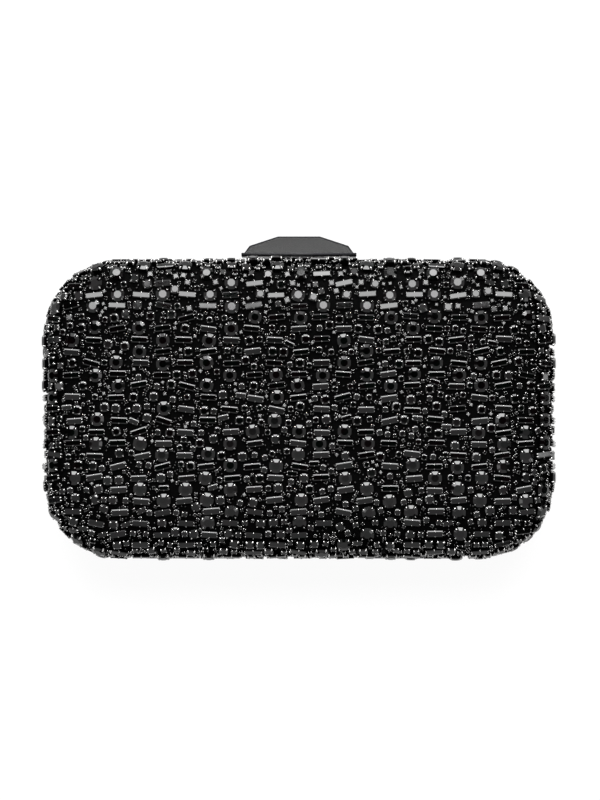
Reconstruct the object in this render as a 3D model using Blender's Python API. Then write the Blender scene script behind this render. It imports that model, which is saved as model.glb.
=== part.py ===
"""Rounded box clutch: a jewelled front half, a satin rear half and a rocking stone clasp.

The clutch lies on its back. X runs along its width, +Y points to the clasp and +Z to the front face.
The origin is the centre of the flat rear face. Depths are counted from the parting plane between the
halves, and insets from the outermost stones inwards. Heights at the clasp and at the hinges are
counted outwards from the face of the metal frames.
"""

import math
import random

import bmesh
import bpy
from mathutils import Matrix, Vector

MM = 0.001

# Overall size over the stones
WIDTH = 190.0 * MM
HEIGHT = 112.0 * MM
FRONT_DEPTH = 25.0 * MM
REAR_DEPTH = 25.0 * MM
CORNER_RADIUS = 29.5 * MM
EDGE_RADIUS = 11.0 * MM
CROWN = 1.2 * MM

# Layers of each half
STONE_COVER = 2.9 * MM
SATIN_COVER = 1.3 * MM
SHELL_WALL = 1.8 * MM
BOARD = 0.8 * MM
LINING = 1.0 * MM
LINING_RIM_DEPTH = 1.5 * MM
SEAT_GAP = 0.3 * MM
PARTING_GAP = 0.3 * MM

# Stones sewn on the front, in staggered columns: round ones and bars, a bar over each round one
STONE_STANDOUT = 1.6 * MM
STONE_ROOT = 0.6 * MM
COLUMN_PITCH = 8.3 * MM
ROW_PITCH = 8.4 * MM
ROUND_FOOT_RADIUS = 2.75 * MM
ROUND_TABLE_RADIUS = 1.5 * MM
BAR_LENGTH = 6.2 * MM
BAR_WIDTH = 2.3 * MM
BAR_BEVEL = 0.5 * MM
BAR_DROP = 0.5 * MM
STONE_SCATTER = 0.42 * MM
STONE_SPACE = 0.15 * MM
BAR_TURN = math.radians(7.0)
ROUND_SHARE = 0.42
BAR_SHARE = 0.94
BAR_DISC_SHARES = (-1.0, -0.5, 0.0, 0.5, 1.0)

# Metal frames
FRAME_STANDOUT = 0.6 * MM
FRAME_FACE_WIDTH = 4.6 * MM
FRAME_CHAMFER = 0.4 * MM
FLANGE_WALL = 1.2 * MM
FLANGE_HEIGHT = 5.4 * MM

# Frame rivets, set in from the ends of the straight edges
FRAME_RIVET_MARGIN = 5.5 * MM
FRAME_RIVET_DEPTH_SHARE = 0.55
FRAME_RIVET_RADIUS = 0.9 * MM
FRAME_RIVET_HEAD_RADIUS = 1.7 * MM
FRAME_RIVET_HEAD = 0.5 * MM

# Hinges, set in from the ends of the bottom edge's straight part
HINGE_MARGIN = 8.5 * MM
HINGE_LENGTH = 30.0 * MM
HINGE_AXIS_STANDOUT = 0.9 * MM
KNUCKLE_RADIUS = 1.6 * MM
HINGE_PIN_RADIUS = 0.75 * MM
PIN_HEAD = 0.5 * MM
LEAF_THICKNESS = 0.6 * MM
PIN_CLEARANCE = 0.2 * MM

# Slip pocket in the rear half
POCKET_WIDTH = 104.0 * MM
POCKET_LENGTH = 56.0 * MM
POCKET_SHIFT = 4.0 * MM
POCKET_RISE = 6.4 * MM
POCKET_CLOTH = 0.8 * MM

# Clasp stone
STONE_LENGTH = 41.2 * MM
STONE_SHOULDER_LENGTH = 36.7 * MM
STONE_TOP_LENGTH = 15.6 * MM
STONE_HEIGHT = 6.6 * MM
STONE_SHOULDER_HEIGHT = 3.1 * MM
STONE_DEPTH = 13.0 * MM
STONE_SLOPE = 1.3 * MM
STONE_CHAMFER = 0.5 * MM

# Clasp setting
BEZEL_STANDOFF = 3.2 * MM
BEZEL_FLOOR = 0.6 * MM
BEZEL_WALL = 0.45 * MM
BEZEL_HEIGHT = 1.3 * MM

# Clasp lever
CLASP_PIN_HEIGHT = 1.8 * MM
CLASP_PIN_DEPTH = 3.0 * MM
CLASP_PIN_RADIUS = 0.5 * MM
CLASP_PIN_HEAD_RADIUS = 0.75 * MM
CLASP_PIN_HEAD = 0.4 * MM
EYE_RADIUS = 1.15 * MM
LEVER_HALF_WIDTH = 7.6 * MM
LEVER_THICKNESS = 0.8 * MM
LEVER_REACH = 3.3 * MM
EAR_WIDTH = 3.7 * MM
HOOK_HALF_WIDTH = 4.0 * MM
HOOK_THICKNESS = 1.0 * MM
HOOK_TIP_HEIGHT = 0.4 * MM
CLASP_RIVET_X = 5.6 * MM
CLASP_RIVET_DEPTH = 0.8 * MM

# Clasp lugs
LUG_WALL = 1.5 * MM
LUG_FOOT_LENGTH = 6.0 * MM
LUG_SCREW_SHARE = 0.55
LUG_FOOT_WIDTH = 3.2 * MM
LUG_FOOT_THICKNESS = 0.6 * MM

# Strike plate
STRIKE_HALF_LENGTH = 12.0 * MM
STRIKE_THICKNESS = 0.8 * MM
STRIKE_LIP = 1.35 * MM
STRIKE_EDGE = 0.7 * MM
STRIKE_SCREW_X = 9.5 * MM

# Small screws and clasp rivets
SCREW_RADIUS = 0.5 * MM
SCREW_HEAD_RADIUS = 1.0 * MM
SCREW_HEAD = 0.5 * MM
SCREW_GRIP = 2.3 * MM

# Torsion spring
SPRING_WIRE_RADIUS = 0.18 * MM
SPRING_COIL_RADIUS = 0.97 * MM
SPRING_PITCH = 0.62 * MM
SPRING_LEG = 1.2 * MM
SPRING_TURNS = 4

# Overrun of a cutting tool beyond what it cuts
OVERRUN = 1.0 * MM

# Fineness
CORNER_STEPS = 7
EDGE_STEPS = 4
FACE_SHARES = (0.5, 1.0)
PLATEAU_SHARE = 0.85
ROUND_SIDES = 12
STONE_SIDES = 6
STONE_SEED = 11
SPRING_STEPS = 8
POCKET_ACROSS_STEPS = 14
POCKET_ALONG_STEPS = 8
HEAD_TOP_SHARE = 0.6
SMOOTH_ANGLE = math.radians(35.0)

# Insets worked out from the layers
SHELL_INSET = STONE_COVER + SEAT_GAP
SATIN_INSET = SHELL_INSET - SEAT_GAP - SATIN_COVER
FRAME_INSET = SHELL_INSET - FRAME_STANDOUT
FLANGE_INSET = SHELL_INSET + SHELL_WALL + SEAT_GAP
FRAME_INNER_INSET = FLANGE_INSET + FLANGE_WALL
LINING_INSET = FRAME_INNER_INSET + SEAT_GAP + FRAME_RIVET_HEAD + SEAT_GAP
PLATEAU_INSET = EDGE_RADIUS + PLATEAU_SHARE * (CORNER_RADIUS - EDGE_RADIUS)

# Depths worked out from the layers
COVER_RIM = FRAME_FACE_WIDTH + SEAT_GAP
FRONT_COVER_FACE = FRONT_DEPTH - CROWN
FRONT_SHELL_FACE = FRONT_COVER_FACE - STONE_COVER - SEAT_GAP
REAR_SHELL_FACE = REAR_DEPTH - SATIN_COVER - SEAT_GAP
FRAME_RIVET_DEPTH = FRAME_FACE_WIDTH + FRAME_RIVET_DEPTH_SHARE * FLANGE_HEIGHT

# The front's outer surface, unrolled from its face's edge round to its rim
EDGE_ARC = EDGE_RADIUS * math.radians(90.0)
EDGE_FOOT = FRONT_COVER_FACE - EDGE_RADIUS
COVER_REACH = EDGE_ARC + EDGE_FOOT - COVER_RIM

# Places worked out from the frames
STRAIGHT_END_X = WIDTH / 2 - CORNER_RADIUS
STRAIGHT_END_Y = HEIGHT / 2 - CORNER_RADIUS
FRAME_RIVET_X = STRAIGHT_END_X - FRAME_RIVET_MARGIN
HINGE_X = STRAIGHT_END_X - HINGE_MARGIN - HINGE_LENGTH / 2
PARTING_Z = REAR_DEPTH
FRAME_FACE_Y = HEIGHT / 2 - FRAME_INSET
HINGE_AXIS = Vector((0.0, -FRAME_FACE_Y - HINGE_AXIS_STANDOUT, PARTING_Z))
CLASP_AXIS = Vector((0.0, FRAME_FACE_Y + CLASP_PIN_HEIGHT, PARTING_Z - CLASP_PIN_DEPTH))
LEVER_TOP = BEZEL_STANDOFF - SEAT_GAP
LEVER_BOTTOM = LEVER_TOP - LEVER_THICKNESS
LUG_X = LEVER_HALF_WIDTH + SEAT_GAP + LUG_WALL / 2
LUG_SCREW_X = LUG_X + LUG_WALL / 2 + LUG_SCREW_SHARE * LUG_FOOT_LENGTH
STONE_BASE = BEZEL_STANDOFF + BEZEL_FLOOR + SEAT_GAP
STRIKE_REAR_DEPTH = LEVER_REACH - HOOK_THICKNESS - SEAT_GAP - STRIKE_LIP
STRIKE_FRONT_DEPTH = LEVER_REACH + SEAT_GAP + STRIKE_EDGE

# Colours, with roughness and metallic value
JET = ((0.012, 0.012, 0.014), 0.12, 0.0)
BLACK_SATIN = ((0.018, 0.017, 0.02), 0.35, 0.0)
LINING_SATIN = ((0.03, 0.028, 0.032), 0.4, 0.0)
GUNMETAL = ((0.10, 0.10, 0.11), 0.28, 1.0)
SPRING_STEEL = ((0.45, 0.45, 0.47), 0.3, 1.0)
MOULDED = ((0.05, 0.05, 0.05), 0.55, 0.0)
CARD = ((0.35, 0.31, 0.26), 0.8, 0.0)


def material(name, finish):
    """A plain Principled material of the given colour, roughness and metallic value."""
    colour, roughness, metallic = finish
    made = bpy.data.materials.new(name)
    made.use_nodes = True
    shader = made.node_tree.nodes["Principled BSDF"]
    shader.inputs["Base Color"].default_value = (*colour, 1.0)
    shader.inputs["Roughness"].default_value = roughness
    shader.inputs["Metallic"].default_value = metallic
    return made


def empty(name, location):
    """An empty on a joint's axis, which carries the pieces that turn about it."""
    made = bpy.data.objects.new(name, None)
    made.location = location
    bpy.context.scene.collection.objects.link(made)
    return made


def add_object(name, shape, carrier, finish):
    """Makes a finished object of a shape in world places, with its origin at its carrier's."""
    bmesh.ops.recalc_face_normals(shape, faces=shape.faces)
    bmesh.ops.translate(shape, vec=-carrier.location, verts=shape.verts)
    mesh = bpy.data.meshes.new(name)
    shape.to_mesh(mesh)
    shape.free()
    mesh.shade_smooth()
    mesh.set_sharp_from_angle(angle=SMOOTH_ANGLE)
    made = bpy.data.objects.new(name, mesh)
    made.parent = carrier
    bpy.context.scene.collection.objects.link(made)
    if finish:
        mesh.materials.append(material(name, finish))
    return made


def combine(target, tool, operation):
    """Adds or cuts a tool with a Boolean modifier. The tool itself is hidden."""
    modifier = target.modifiers.new(tool.name, "BOOLEAN")
    modifier.operation = operation
    modifier.solver = "EXACT"
    modifier.object = tool
    tool.hide_render = True
    tool.display_type = "WIRE"


def cut(target, tool):
    combine(target, tool, "DIFFERENCE")


def join(target, tool):
    combine(target, tool, "UNION")


# Building shapes ring by ring


def rounded_ring(inset, z):
    """The clutch's outline, moved inwards by an inset, as points at one height."""
    radius = CORNER_RADIUS - inset
    middle_x = STRAIGHT_END_X
    middle_y = STRAIGHT_END_Y
    points = []
    for corner, (side_x, side_y) in enumerate(((1, 1), (-1, 1), (-1, -1), (1, -1))):
        for step in range(CORNER_STEPS + 1):
            angle = math.radians(90.0) * (corner + step / CORNER_STEPS)
            points.append(
                (
                    side_x * middle_x + radius * math.cos(angle),
                    side_y * middle_y + radius * math.sin(angle),
                    z,
                )
            )
    return points


def skin_rings(rings, closed=False):
    """A solid skinned over rings of equal count. An open row of rings gets a cap at each end."""
    shape = bmesh.new()
    loops = [[shape.verts.new(point) for point in ring] for ring in rings]
    count = len(loops[0])
    pairs = list(zip(loops, loops[1:]))
    if closed:
        pairs.append((loops[-1], loops[0]))
    for lower, upper in pairs:
        for i in range(count):
            j = (i + 1) % count
            shape.faces.new((lower[i], lower[j], upper[j], upper[i]))
    if not closed:
        shape.faces.new(loops[0])
        shape.faces.new(loops[-1])
    return shape


def half_profile(inset, rim, face, crown):
    """Inset and depth of each ring from a half's rim, up its wall and round its edge to its face."""
    radius = EDGE_RADIUS - inset
    rings = [(inset, rim)]
    for step in range(EDGE_STEPS + 1):
        angle = math.radians(90.0) * step / EDGE_STEPS
        rings.append((EDGE_RADIUS - radius * math.cos(angle), face - radius + radius * math.sin(angle)))
    return rings + face_profile(face, crown)


def face_profile(face, crown):
    """Inset and depth of the rings over a crowned face. A flat face needs none."""
    if crown == 0:
        return []
    reach = PLATEAU_INSET - EDGE_RADIUS
    return [
        (EDGE_RADIUS + share * reach, face + crown * math.sin(math.radians(90.0) * share))
        for share in FACE_SHARES
    ]


def rings_of(profile, side):
    """Rings of a profile on the front side (+1) or the rear side (-1) of the parting plane."""
    return [rounded_ring(inset, PARTING_Z + side * depth) for inset, depth in profile]


def add_dish(name, inset, wall, rim, face, crown, side, carrier, finish):
    """A dish-shaped layer of one half, of an even wall, open at the parting plane."""
    outer = half_profile(inset, rim, face, crown)
    inner = half_profile(inset + wall, rim, face - wall, crown)
    shape = skin_rings(rings_of(outer[::-1] + inner, side))
    return add_object(name, shape, carrier, finish)


def add_board(name, face, crown, side, carrier, finish):
    """A stiffening card under the lining, over the flat part of a half's floor."""
    outer = [(EDGE_RADIUS, face)] + face_profile(face, crown)
    inner = [(inset, depth - BOARD) for inset, depth in outer]
    shape = skin_rings(rings_of(outer[::-1] + inner, side))
    return add_object(name, shape, carrier, finish)


def add_frame(name, side, carrier):
    """A metal frame: a square band at the parting plane, with a flange inside the shell's wall."""
    foot = PARTING_GAP / 2
    top = FRAME_FACE_WIDTH + FLANGE_HEIGHT
    profile = [
        (FRAME_INSET + FRAME_CHAMFER, foot),
        (FRAME_INSET, foot + FRAME_CHAMFER),
        (FRAME_INSET, FRAME_FACE_WIDTH),
        (FLANGE_INSET, FRAME_FACE_WIDTH),
        (FLANGE_INSET, top),
        (FRAME_INNER_INSET, top),
        (FRAME_INNER_INSET, foot),
    ]
    shape = skin_rings(rings_of(profile, side), closed=True)
    return add_object(name, shape, carrier, GUNMETAL)


def round_ring(centre, radius, axis):
    """A circle of points about a centre, square to the X or the Y axis."""
    points = []
    for step in range(ROUND_SIDES):
        angle = math.radians(360.0) * (step + 0.5) / ROUND_SIDES
        a = radius * math.cos(angle)
        b = radius * math.sin(angle)
        offset = Vector((0.0, a, b)) if axis == "X" else Vector((a, 0.0, b))
        points.append(centre + offset)
    return points


def add_turned(name, stations, centre, axis, carrier, finish):
    """A turned piece about the X or the Y axis, from its distances along it and its radii."""
    along = Vector((1.0, 0.0, 0.0)) if axis == "X" else Vector((0.0, 1.0, 0.0))
    rings = [round_ring(centre + along * place, radius, axis) for place, radius in stations]
    return add_object(name, skin_rings(rings), carrier, finish)


def add_bar(name, low, high, carrier, finish=None):
    """A block between two corners."""
    rings = [
        [
            (low[0], low[1], z),
            (high[0], low[1], z),
            (high[0], high[1], z),
            (low[0], high[1], z),
        ]
        for z in (low[2], high[2])
    ]
    return add_object(name, skin_rings(rings), carrier, finish)


def at_clasp(x, height, depth):
    """A place at the top edge: its height above the frame's face, its depth to the front."""
    return Vector((x, FRAME_FACE_Y + height, PARTING_Z + depth))


def spread(low, high):
    """Two bounds in rising order, for a size that is mirrored to the other side."""
    return (min(low, high), max(low, high))


# Stones over the front


def beyond_face(u, v):
    """How far a place on the unrolled front lies beyond the face's edge, and which way is outward there.

    On the unrolled front u runs along X and v along Y, from the middle of the face.
    """
    past_x = abs(u) - STRAIGHT_END_X
    past_y = abs(v) - STRAIGHT_END_Y
    if past_x > 0 and past_y > 0:
        far = math.hypot(past_x, past_y)
        outward = Vector((math.copysign(past_x, u), math.copysign(past_y, v), 0.0)) / far
    elif past_x > past_y:
        far = past_x
        outward = Vector((math.copysign(1.0, u), 0.0, 0.0))
    else:
        far = past_y
        outward = Vector((0.0, math.copysign(1.0, v), 0.0))
    return far - (CORNER_RADIUS - EDGE_RADIUS), outward


def front_place(u, v):
    """A place of the unrolled front on its rounded outer surface: a matrix with Z square to the surface."""
    past, outward = beyond_face(u, v)
    up = Vector((0.0, 0.0, 1.0))
    span = PLATEAU_INSET - EDGE_RADIUS
    if past <= 0:
        rise = math.radians(90.0) * min(1.0, -past / span)
        lean = math.atan(CROWN * math.radians(90.0) / span * math.cos(rise))
        point = Vector((u, v, PARTING_Z + FRONT_COVER_FACE + CROWN * math.sin(rise)))
    else:
        lean = min(past, EDGE_ARC) / EDGE_RADIUS
        height = EDGE_FOOT + EDGE_RADIUS * math.cos(lean) - max(0.0, past - EDGE_ARC)
        point = Vector((u, v, 0.0)) - outward * past
        point += outward * EDGE_RADIUS * math.sin(lean) + up * (PARTING_Z + height)
    normal = outward * math.sin(lean) + up * math.cos(lean)
    down = outward * math.cos(lean) - up * math.sin(lean)
    side = Vector((-outward.y, outward.x, 0.0))
    right = (down * outward.x - side * outward.y).normalized()
    place = Matrix((right, normal.cross(right), normal)).transposed().to_4x4()
    place.translation = point
    return place


def take_room(taken, place, offsets, radius):
    """Keeps discs free about a stone, side by side along its X axis. False if another stone is there."""
    centres = [place @ Vector((offset, 0.0, -STONE_STANDOUT)) for offset in offsets]
    for centre in centres:
        for other, size in taken:
            if (centre - other).length < radius + size:
                return False
    taken.extend((centre, radius) for centre in centres)
    return True


def stone_places():
    """Places of the round stones and of the bars that stand over the front without touching."""
    chance = random.Random(STONE_SEED)
    half_u = WIDTH / 2 - EDGE_RADIUS + COVER_REACH
    half_v = HEIGHT / 2 - EDGE_RADIUS + COVER_REACH
    columns = math.ceil(half_u / COLUMN_PITCH)
    rows = math.ceil(half_v / ROW_PITCH)
    bar_radius = BAR_WIDTH / 2 + STONE_SPACE
    bar_run = BAR_LENGTH / 2 - BAR_WIDTH / 2
    kinds = (
        (ROUND_SHARE, 0.0, [0.0], ROUND_FOOT_RADIUS + STONE_SPACE),
        (BAR_SHARE, BAR_TURN, [share * bar_run for share in BAR_DISC_SHARES], bar_radius),
    )
    found = ([], [])
    taken = []
    for places, (level, (share, turn, offsets, radius)) in zip(found, enumerate(kinds)):
        for i in range(-columns, columns + 1):
            for j in range(-rows, rows + 1):
                u = COLUMN_PITCH * i + chance.gauss(0.0, STONE_SCATTER)
                v = ROW_PITCH * (j + (i % 2 + level) / 2) + chance.gauss(0.0, STONE_SCATTER / 2)
                angle = chance.gauss(0.0, turn)
                if chance.random() > share or beyond_face(u, v)[0] > COVER_REACH - radius:
                    continue
                place = front_place(u, v) @ Matrix.Rotation(angle, 4, "Z")
                if take_room(taken, place, offsets, radius):
                    places.append(place)
    return found


def add_blocks(shape, places, foot, table):
    """Adds a block with sloping sides at each place, between two loops of points in the place's axes."""
    for place in places:
        loops = [[shape.verts.new(place @ point) for point in loop] for loop in (foot, table)]
        count = len(foot)
        for i in range(count):
            j = (i + 1) % count
            shape.faces.new((loops[0][i], loops[0][j], loops[1][j], loops[1][i]))
        shape.faces.new(loops[0][::-1])
        shape.faces.new(loops[1])


def stone_loop(radius, height):
    """A round stone's outline at one height."""
    turns = [math.radians(360.0) * step / STONE_SIDES for step in range(STONE_SIDES)]
    return [Vector((radius * math.cos(turn), radius * math.sin(turn), height)) for turn in turns]


def bar_loop(bevel, height):
    """A bar's outline at one height, moved inwards by a bevel."""
    x = BAR_LENGTH / 2 - bevel
    y = BAR_WIDTH / 2 - bevel
    return [Vector((side_x * x, side_y * y, height)) for side_x, side_y in ((-1, -1), (1, -1), (1, 1), (-1, 1))]


def add_stones(cover, lid):
    """Sets the round stones and the bars on the cover. The small stones between them are part of its layer."""
    rounds, bars = stone_places()
    foot = -STONE_STANDOUT - STONE_ROOT
    shape = bmesh.new()
    add_blocks(shape, rounds, stone_loop(ROUND_FOOT_RADIUS, foot), stone_loop(ROUND_TABLE_RADIUS, 0.0))
    add_blocks(shape, bars, bar_loop(0.0, foot), bar_loop(BAR_BEVEL, -BAR_DROP))
    join(cover, add_object("cover_stones", shape, lid, None))


# Sub-assemblies


def build_halves(rear, lid):
    """The covers, shells, boards and linings of both halves."""
    ground = STONE_COVER - STONE_STANDOUT
    ground_face = FRONT_COVER_FACE - STONE_STANDOUT
    cover = add_dish(
        "front_stone_cover", STONE_STANDOUT, ground, COVER_RIM, ground_face, CROWN, 1, lid, JET
    )
    add_stones(cover, lid)
    add_dish("rear_satin_cover", SATIN_INSET, SATIN_COVER, COVER_RIM, REAR_DEPTH, 0.0, -1, rear, BLACK_SATIN)
    halves = (
        ("front", FRONT_SHELL_FACE, CROWN, 1, lid),
        ("rear", REAR_SHELL_FACE, 0.0, -1, rear),
    )
    shells = {}
    for half, face, crown, side, carrier in halves:
        shells[half] = add_dish(
            f"{half}_shell", SHELL_INSET, SHELL_WALL, COVER_RIM, face, crown, side, carrier, MOULDED
        )
        board_face = face - SHELL_WALL - SEAT_GAP
        add_board(f"{half}_lining_board", board_face, crown, side, carrier, CARD)
        lining_face = board_face - BOARD - SEAT_GAP
        add_dish(
            f"{half}_lining",
            LINING_INSET,
            LINING,
            LINING_RIM_DEPTH,
            lining_face,
            crown,
            side,
            carrier,
            LINING_SATIN,
        )
    return shells


def build_frame_rivets(half, side, shell, frame, carrier):
    """Four rivets that hold a shell on its frame's flange, two at the top and two at the bottom."""
    z = PARTING_Z + side * FRAME_RIVET_DEPTH
    flange_face = HEIGHT / 2 - FRAME_INNER_INSET
    seat = flange_face - SEAT_GAP
    hole_radius = FRAME_RIVET_RADIUS + SEAT_GAP
    for side_x, end in ((-1, "left"), (1, "right")):
        centre = Vector((side_x * FRAME_RIVET_X, 0.0, z))
        reach = HEIGHT / 2 + OVERRUN
        hole = add_turned(
            f"{half}_rivet_hole_{end}", [(-reach, hole_radius), (reach, hole_radius)], centre, "Y", carrier, None
        )
        cut(shell, hole)
        cut(frame, hole)
        for side_y, edge in ((1, "top"), (-1, "bottom")):
            stations = [
                (side_y * (seat - FRAME_RIVET_HEAD), HEAD_TOP_SHARE * FRAME_RIVET_HEAD_RADIUS),
                (side_y * (seat - FRAME_RIVET_HEAD / 2), FRAME_RIVET_HEAD_RADIUS),
                (side_y * seat, FRAME_RIVET_HEAD_RADIUS),
                (side_y * seat, FRAME_RIVET_RADIUS),
                (side_y * (HEIGHT / 2 - SHELL_INSET), FRAME_RIVET_RADIUS),
            ]
            add_turned(f"{half}_frame_rivet_{edge}_{end}", stations, centre, "Y", carrier, GUNMETAL)


def add_leaf(name, side, centre_x, knuckles, carrier):
    """A hinge leaf on a frame's face, with its knuckles about the hinge axis."""
    inner_y = -FRAME_FACE_Y - SEAT_GAP
    outer_y = inner_y - LEAF_THICKNESS
    root = KNUCKLE_RADIUS + SEAT_GAP
    tip = FRAME_FACE_WIDTH - SEAT_GAP
    z_low, z_high = spread(PARTING_Z + side * root, PARTING_Z + side * tip)
    half_length = HINGE_LENGTH / 2
    leaf = add_bar(
        name,
        (centre_x - half_length, outer_y, z_low),
        (centre_x + half_length, inner_y, z_high),
        carrier,
        GUNMETAL,
    )
    for number, (start, end) in enumerate(knuckles):
        tab_low, tab_high = spread(PARTING_Z + side * HINGE_PIN_RADIUS, PARTING_Z + side * (root + tip) / 2)
        tab = add_bar(
            f"{name}_tab_{number}",
            (centre_x + start, outer_y, tab_low),
            (centre_x + end, inner_y, tab_high),
            carrier,
        )
        barrel = add_turned(
            f"{name}_barrel_{number}",
            [(centre_x + start, KNUCKLE_RADIUS), (centre_x + end, KNUCKLE_RADIUS)],
            HINGE_AXIS,
            "X",
            carrier,
            None,
        )
        join(leaf, tab)
        join(leaf, barrel)
    bore_radius = HINGE_PIN_RADIUS + PIN_CLEARANCE
    reach = half_length + OVERRUN
    bore = add_turned(
        f"{name}_bore",
        [(centre_x - reach, bore_radius), (centre_x + reach, bore_radius)],
        HINGE_AXIS,
        "X",
        carrier,
        None,
    )
    cut(leaf, bore)


def build_hinges(rear, lid, frames):
    """Two hinges at the bottom edge: the rear leaf has the outer knuckles, the front leaf the middle one."""
    half_length = HINGE_LENGTH / 2
    third = HINGE_LENGTH / 6
    head_end = half_length + SEAT_GAP + PIN_HEAD
    head_radius = (HINGE_PIN_RADIUS + KNUCKLE_RADIUS) / 2
    for side_x, end in ((-1, "left"), (1, "right")):
        centre_x = side_x * HINGE_X
        outer = [(-half_length, -third - SEAT_GAP), (third + SEAT_GAP, half_length)]
        add_leaf(f"rear_hinge_leaf_{end}", -1, centre_x, outer, rear)
        add_leaf(f"front_hinge_leaf_{end}", 1, centre_x, [(-third, third)], lid)
        stations = [
            (centre_x - head_end, HINGE_PIN_RADIUS),
            (centre_x - head_end + PIN_HEAD / 2, head_radius),
            (centre_x - half_length - SEAT_GAP, head_radius),
            (centre_x - half_length - SEAT_GAP, HINGE_PIN_RADIUS),
            (centre_x + half_length + SEAT_GAP, HINGE_PIN_RADIUS),
            (centre_x + half_length + SEAT_GAP, head_radius),
            (centre_x + head_end - PIN_HEAD / 2, head_radius),
            (centre_x + head_end, HINGE_PIN_RADIUS),
        ]
        add_turned(f"hinge_pin_{end}", stations, HINGE_AXIS, "X", rear, SPRING_STEEL)
        cove_reach = head_end + SEAT_GAP
        cove_radius = KNUCKLE_RADIUS + SEAT_GAP
        for frame, carrier in frames:
            cove = add_turned(
                f"{frame.name}_cove_{end}",
                [(centre_x - cove_reach, cove_radius), (centre_x + cove_reach, cove_radius)],
                HINGE_AXIS,
                "X",
                carrier,
                None,
            )
            cut(frame, cove)


def build_pocket(rear):
    """A gathered slip pocket on the rear lining's floor. It is sewn down on three sides, open to the top."""
    floor = (
        PARTING_Z
        - REAR_SHELL_FACE
        + SHELL_WALL
        + SEAT_GAP
        + BOARD
        + SEAT_GAP
        + LINING
        + SEAT_GAP
    )
    low_y = -POCKET_LENGTH / 2 - POCKET_SHIFT
    shape = bmesh.new()
    sheets = []
    for lift in (0.0, POCKET_CLOTH):
        rows = []
        for j in range(POCKET_ALONG_STEPS + 1):
            along = j / POCKET_ALONG_STEPS
            swell = math.sin(math.radians(90.0) * along)
            row = []
            for i in range(POCKET_ACROSS_STEPS + 1):
                across = 2.0 * i / POCKET_ACROSS_STEPS - 1.0
                arch = max(0.0, 1.0 - across**4)
                z = floor + lift + POCKET_RISE * swell * arch
                row.append(shape.verts.new((across * POCKET_WIDTH / 2, low_y + along * POCKET_LENGTH, z)))
            rows.append(row)
        sheets.append(rows)
    for rows in sheets:
        for lower, upper in zip(rows, rows[1:]):
            for i in range(POCKET_ACROSS_STEPS):
                shape.faces.new((lower[i], lower[i + 1], upper[i + 1], upper[i]))
    borders = [
        rows[0] + [row[-1] for row in rows[1:]] + rows[-1][-2::-1] + [row[0] for row in rows[-2:0:-1]]
        for rows in sheets
    ]
    count = len(borders[0])
    for i in range(count):
        j = (i + 1) % count
        shape.faces.new((borders[0][i], borders[0][j], borders[1][j], borders[1][i]))
    add_object("slip_pocket", shape, rear, LINING_SATIN)


def add_screw(name, x, depth, seat, grip, carrier):
    """A small screw or rivet square to the frame's face: its head on a seat, its shank below it."""
    head = seat + SEAT_GAP
    stations = [
        (head + SCREW_HEAD, HEAD_TOP_SHARE * SCREW_HEAD_RADIUS),
        (head + SCREW_HEAD / 2, SCREW_HEAD_RADIUS),
        (head, SCREW_HEAD_RADIUS),
        (head, SCREW_RADIUS),
        (seat - grip, SCREW_RADIUS),
    ]
    return add_turned(name, stations, at_clasp(x, 0.0, depth), "Y", carrier, SPRING_STEEL)


def screw_hole(name, x, depth, top, bottom, carrier):
    """A cutting tool for a small screw's hole."""
    radius = SCREW_RADIUS + PIN_CLEARANCE
    return add_turned(name, [(bottom, radius), (top, radius)], at_clasp(x, 0.0, depth), "Y", carrier, None)


def build_lugs(rear, rear_frame):
    """Two lugs on the rear frame, screwed down, which carry the clasp's pin."""
    top = SEAT_GAP + LUG_FOOT_THICKNESS
    rear_edge = -CLASP_PIN_DEPTH - EYE_RADIUS
    front_edge = rear_edge + LUG_FOOT_WIDTH
    screw_depth = (rear_edge + front_edge) / 2
    for side_x, end in ((-1, "left"), (1, "right")):
        inner = LUG_X - LUG_WALL / 2
        outer = LUG_X + LUG_WALL / 2
        foot_low, foot_high = spread(side_x * inner, side_x * (outer + LUG_FOOT_LENGTH))
        wall_low, wall_high = spread(side_x * inner, side_x * outer)
        name = f"clasp_lug_{end}"
        lug = add_bar(
            name, at_clasp(foot_low, SEAT_GAP, rear_edge), at_clasp(foot_high, top, front_edge), rear, GUNMETAL
        )
        post = add_bar(
            f"{name}_post",
            at_clasp(wall_low, (SEAT_GAP + top) / 2, rear_edge),
            at_clasp(wall_high, CLASP_PIN_HEIGHT, -CLASP_PIN_DEPTH + EYE_RADIUS),
            rear,
        )
        eye = add_turned(
            f"{name}_eye", [(wall_low, EYE_RADIUS), (wall_high, EYE_RADIUS)], CLASP_AXIS, "X", rear, None
        )
        bore_radius = CLASP_PIN_RADIUS + PIN_CLEARANCE
        bore = add_turned(
            f"{name}_bore",
            [(wall_low - OVERRUN, bore_radius), (wall_high + OVERRUN, bore_radius)],
            CLASP_AXIS,
            "X",
            rear,
            None,
        )
        x = side_x * LUG_SCREW_X
        hole = screw_hole(f"{name}_hole", x, screw_depth, top + OVERRUN, top - SCREW_GRIP - OVERRUN, rear)
        join(lug, post)
        join(lug, eye)
        cut(lug, bore)
        cut(lug, hole)
        cut(rear_frame, hole)
        add_screw(f"clasp_lug_screw_{end}", x, screw_depth, top, SCREW_GRIP, rear)


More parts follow.
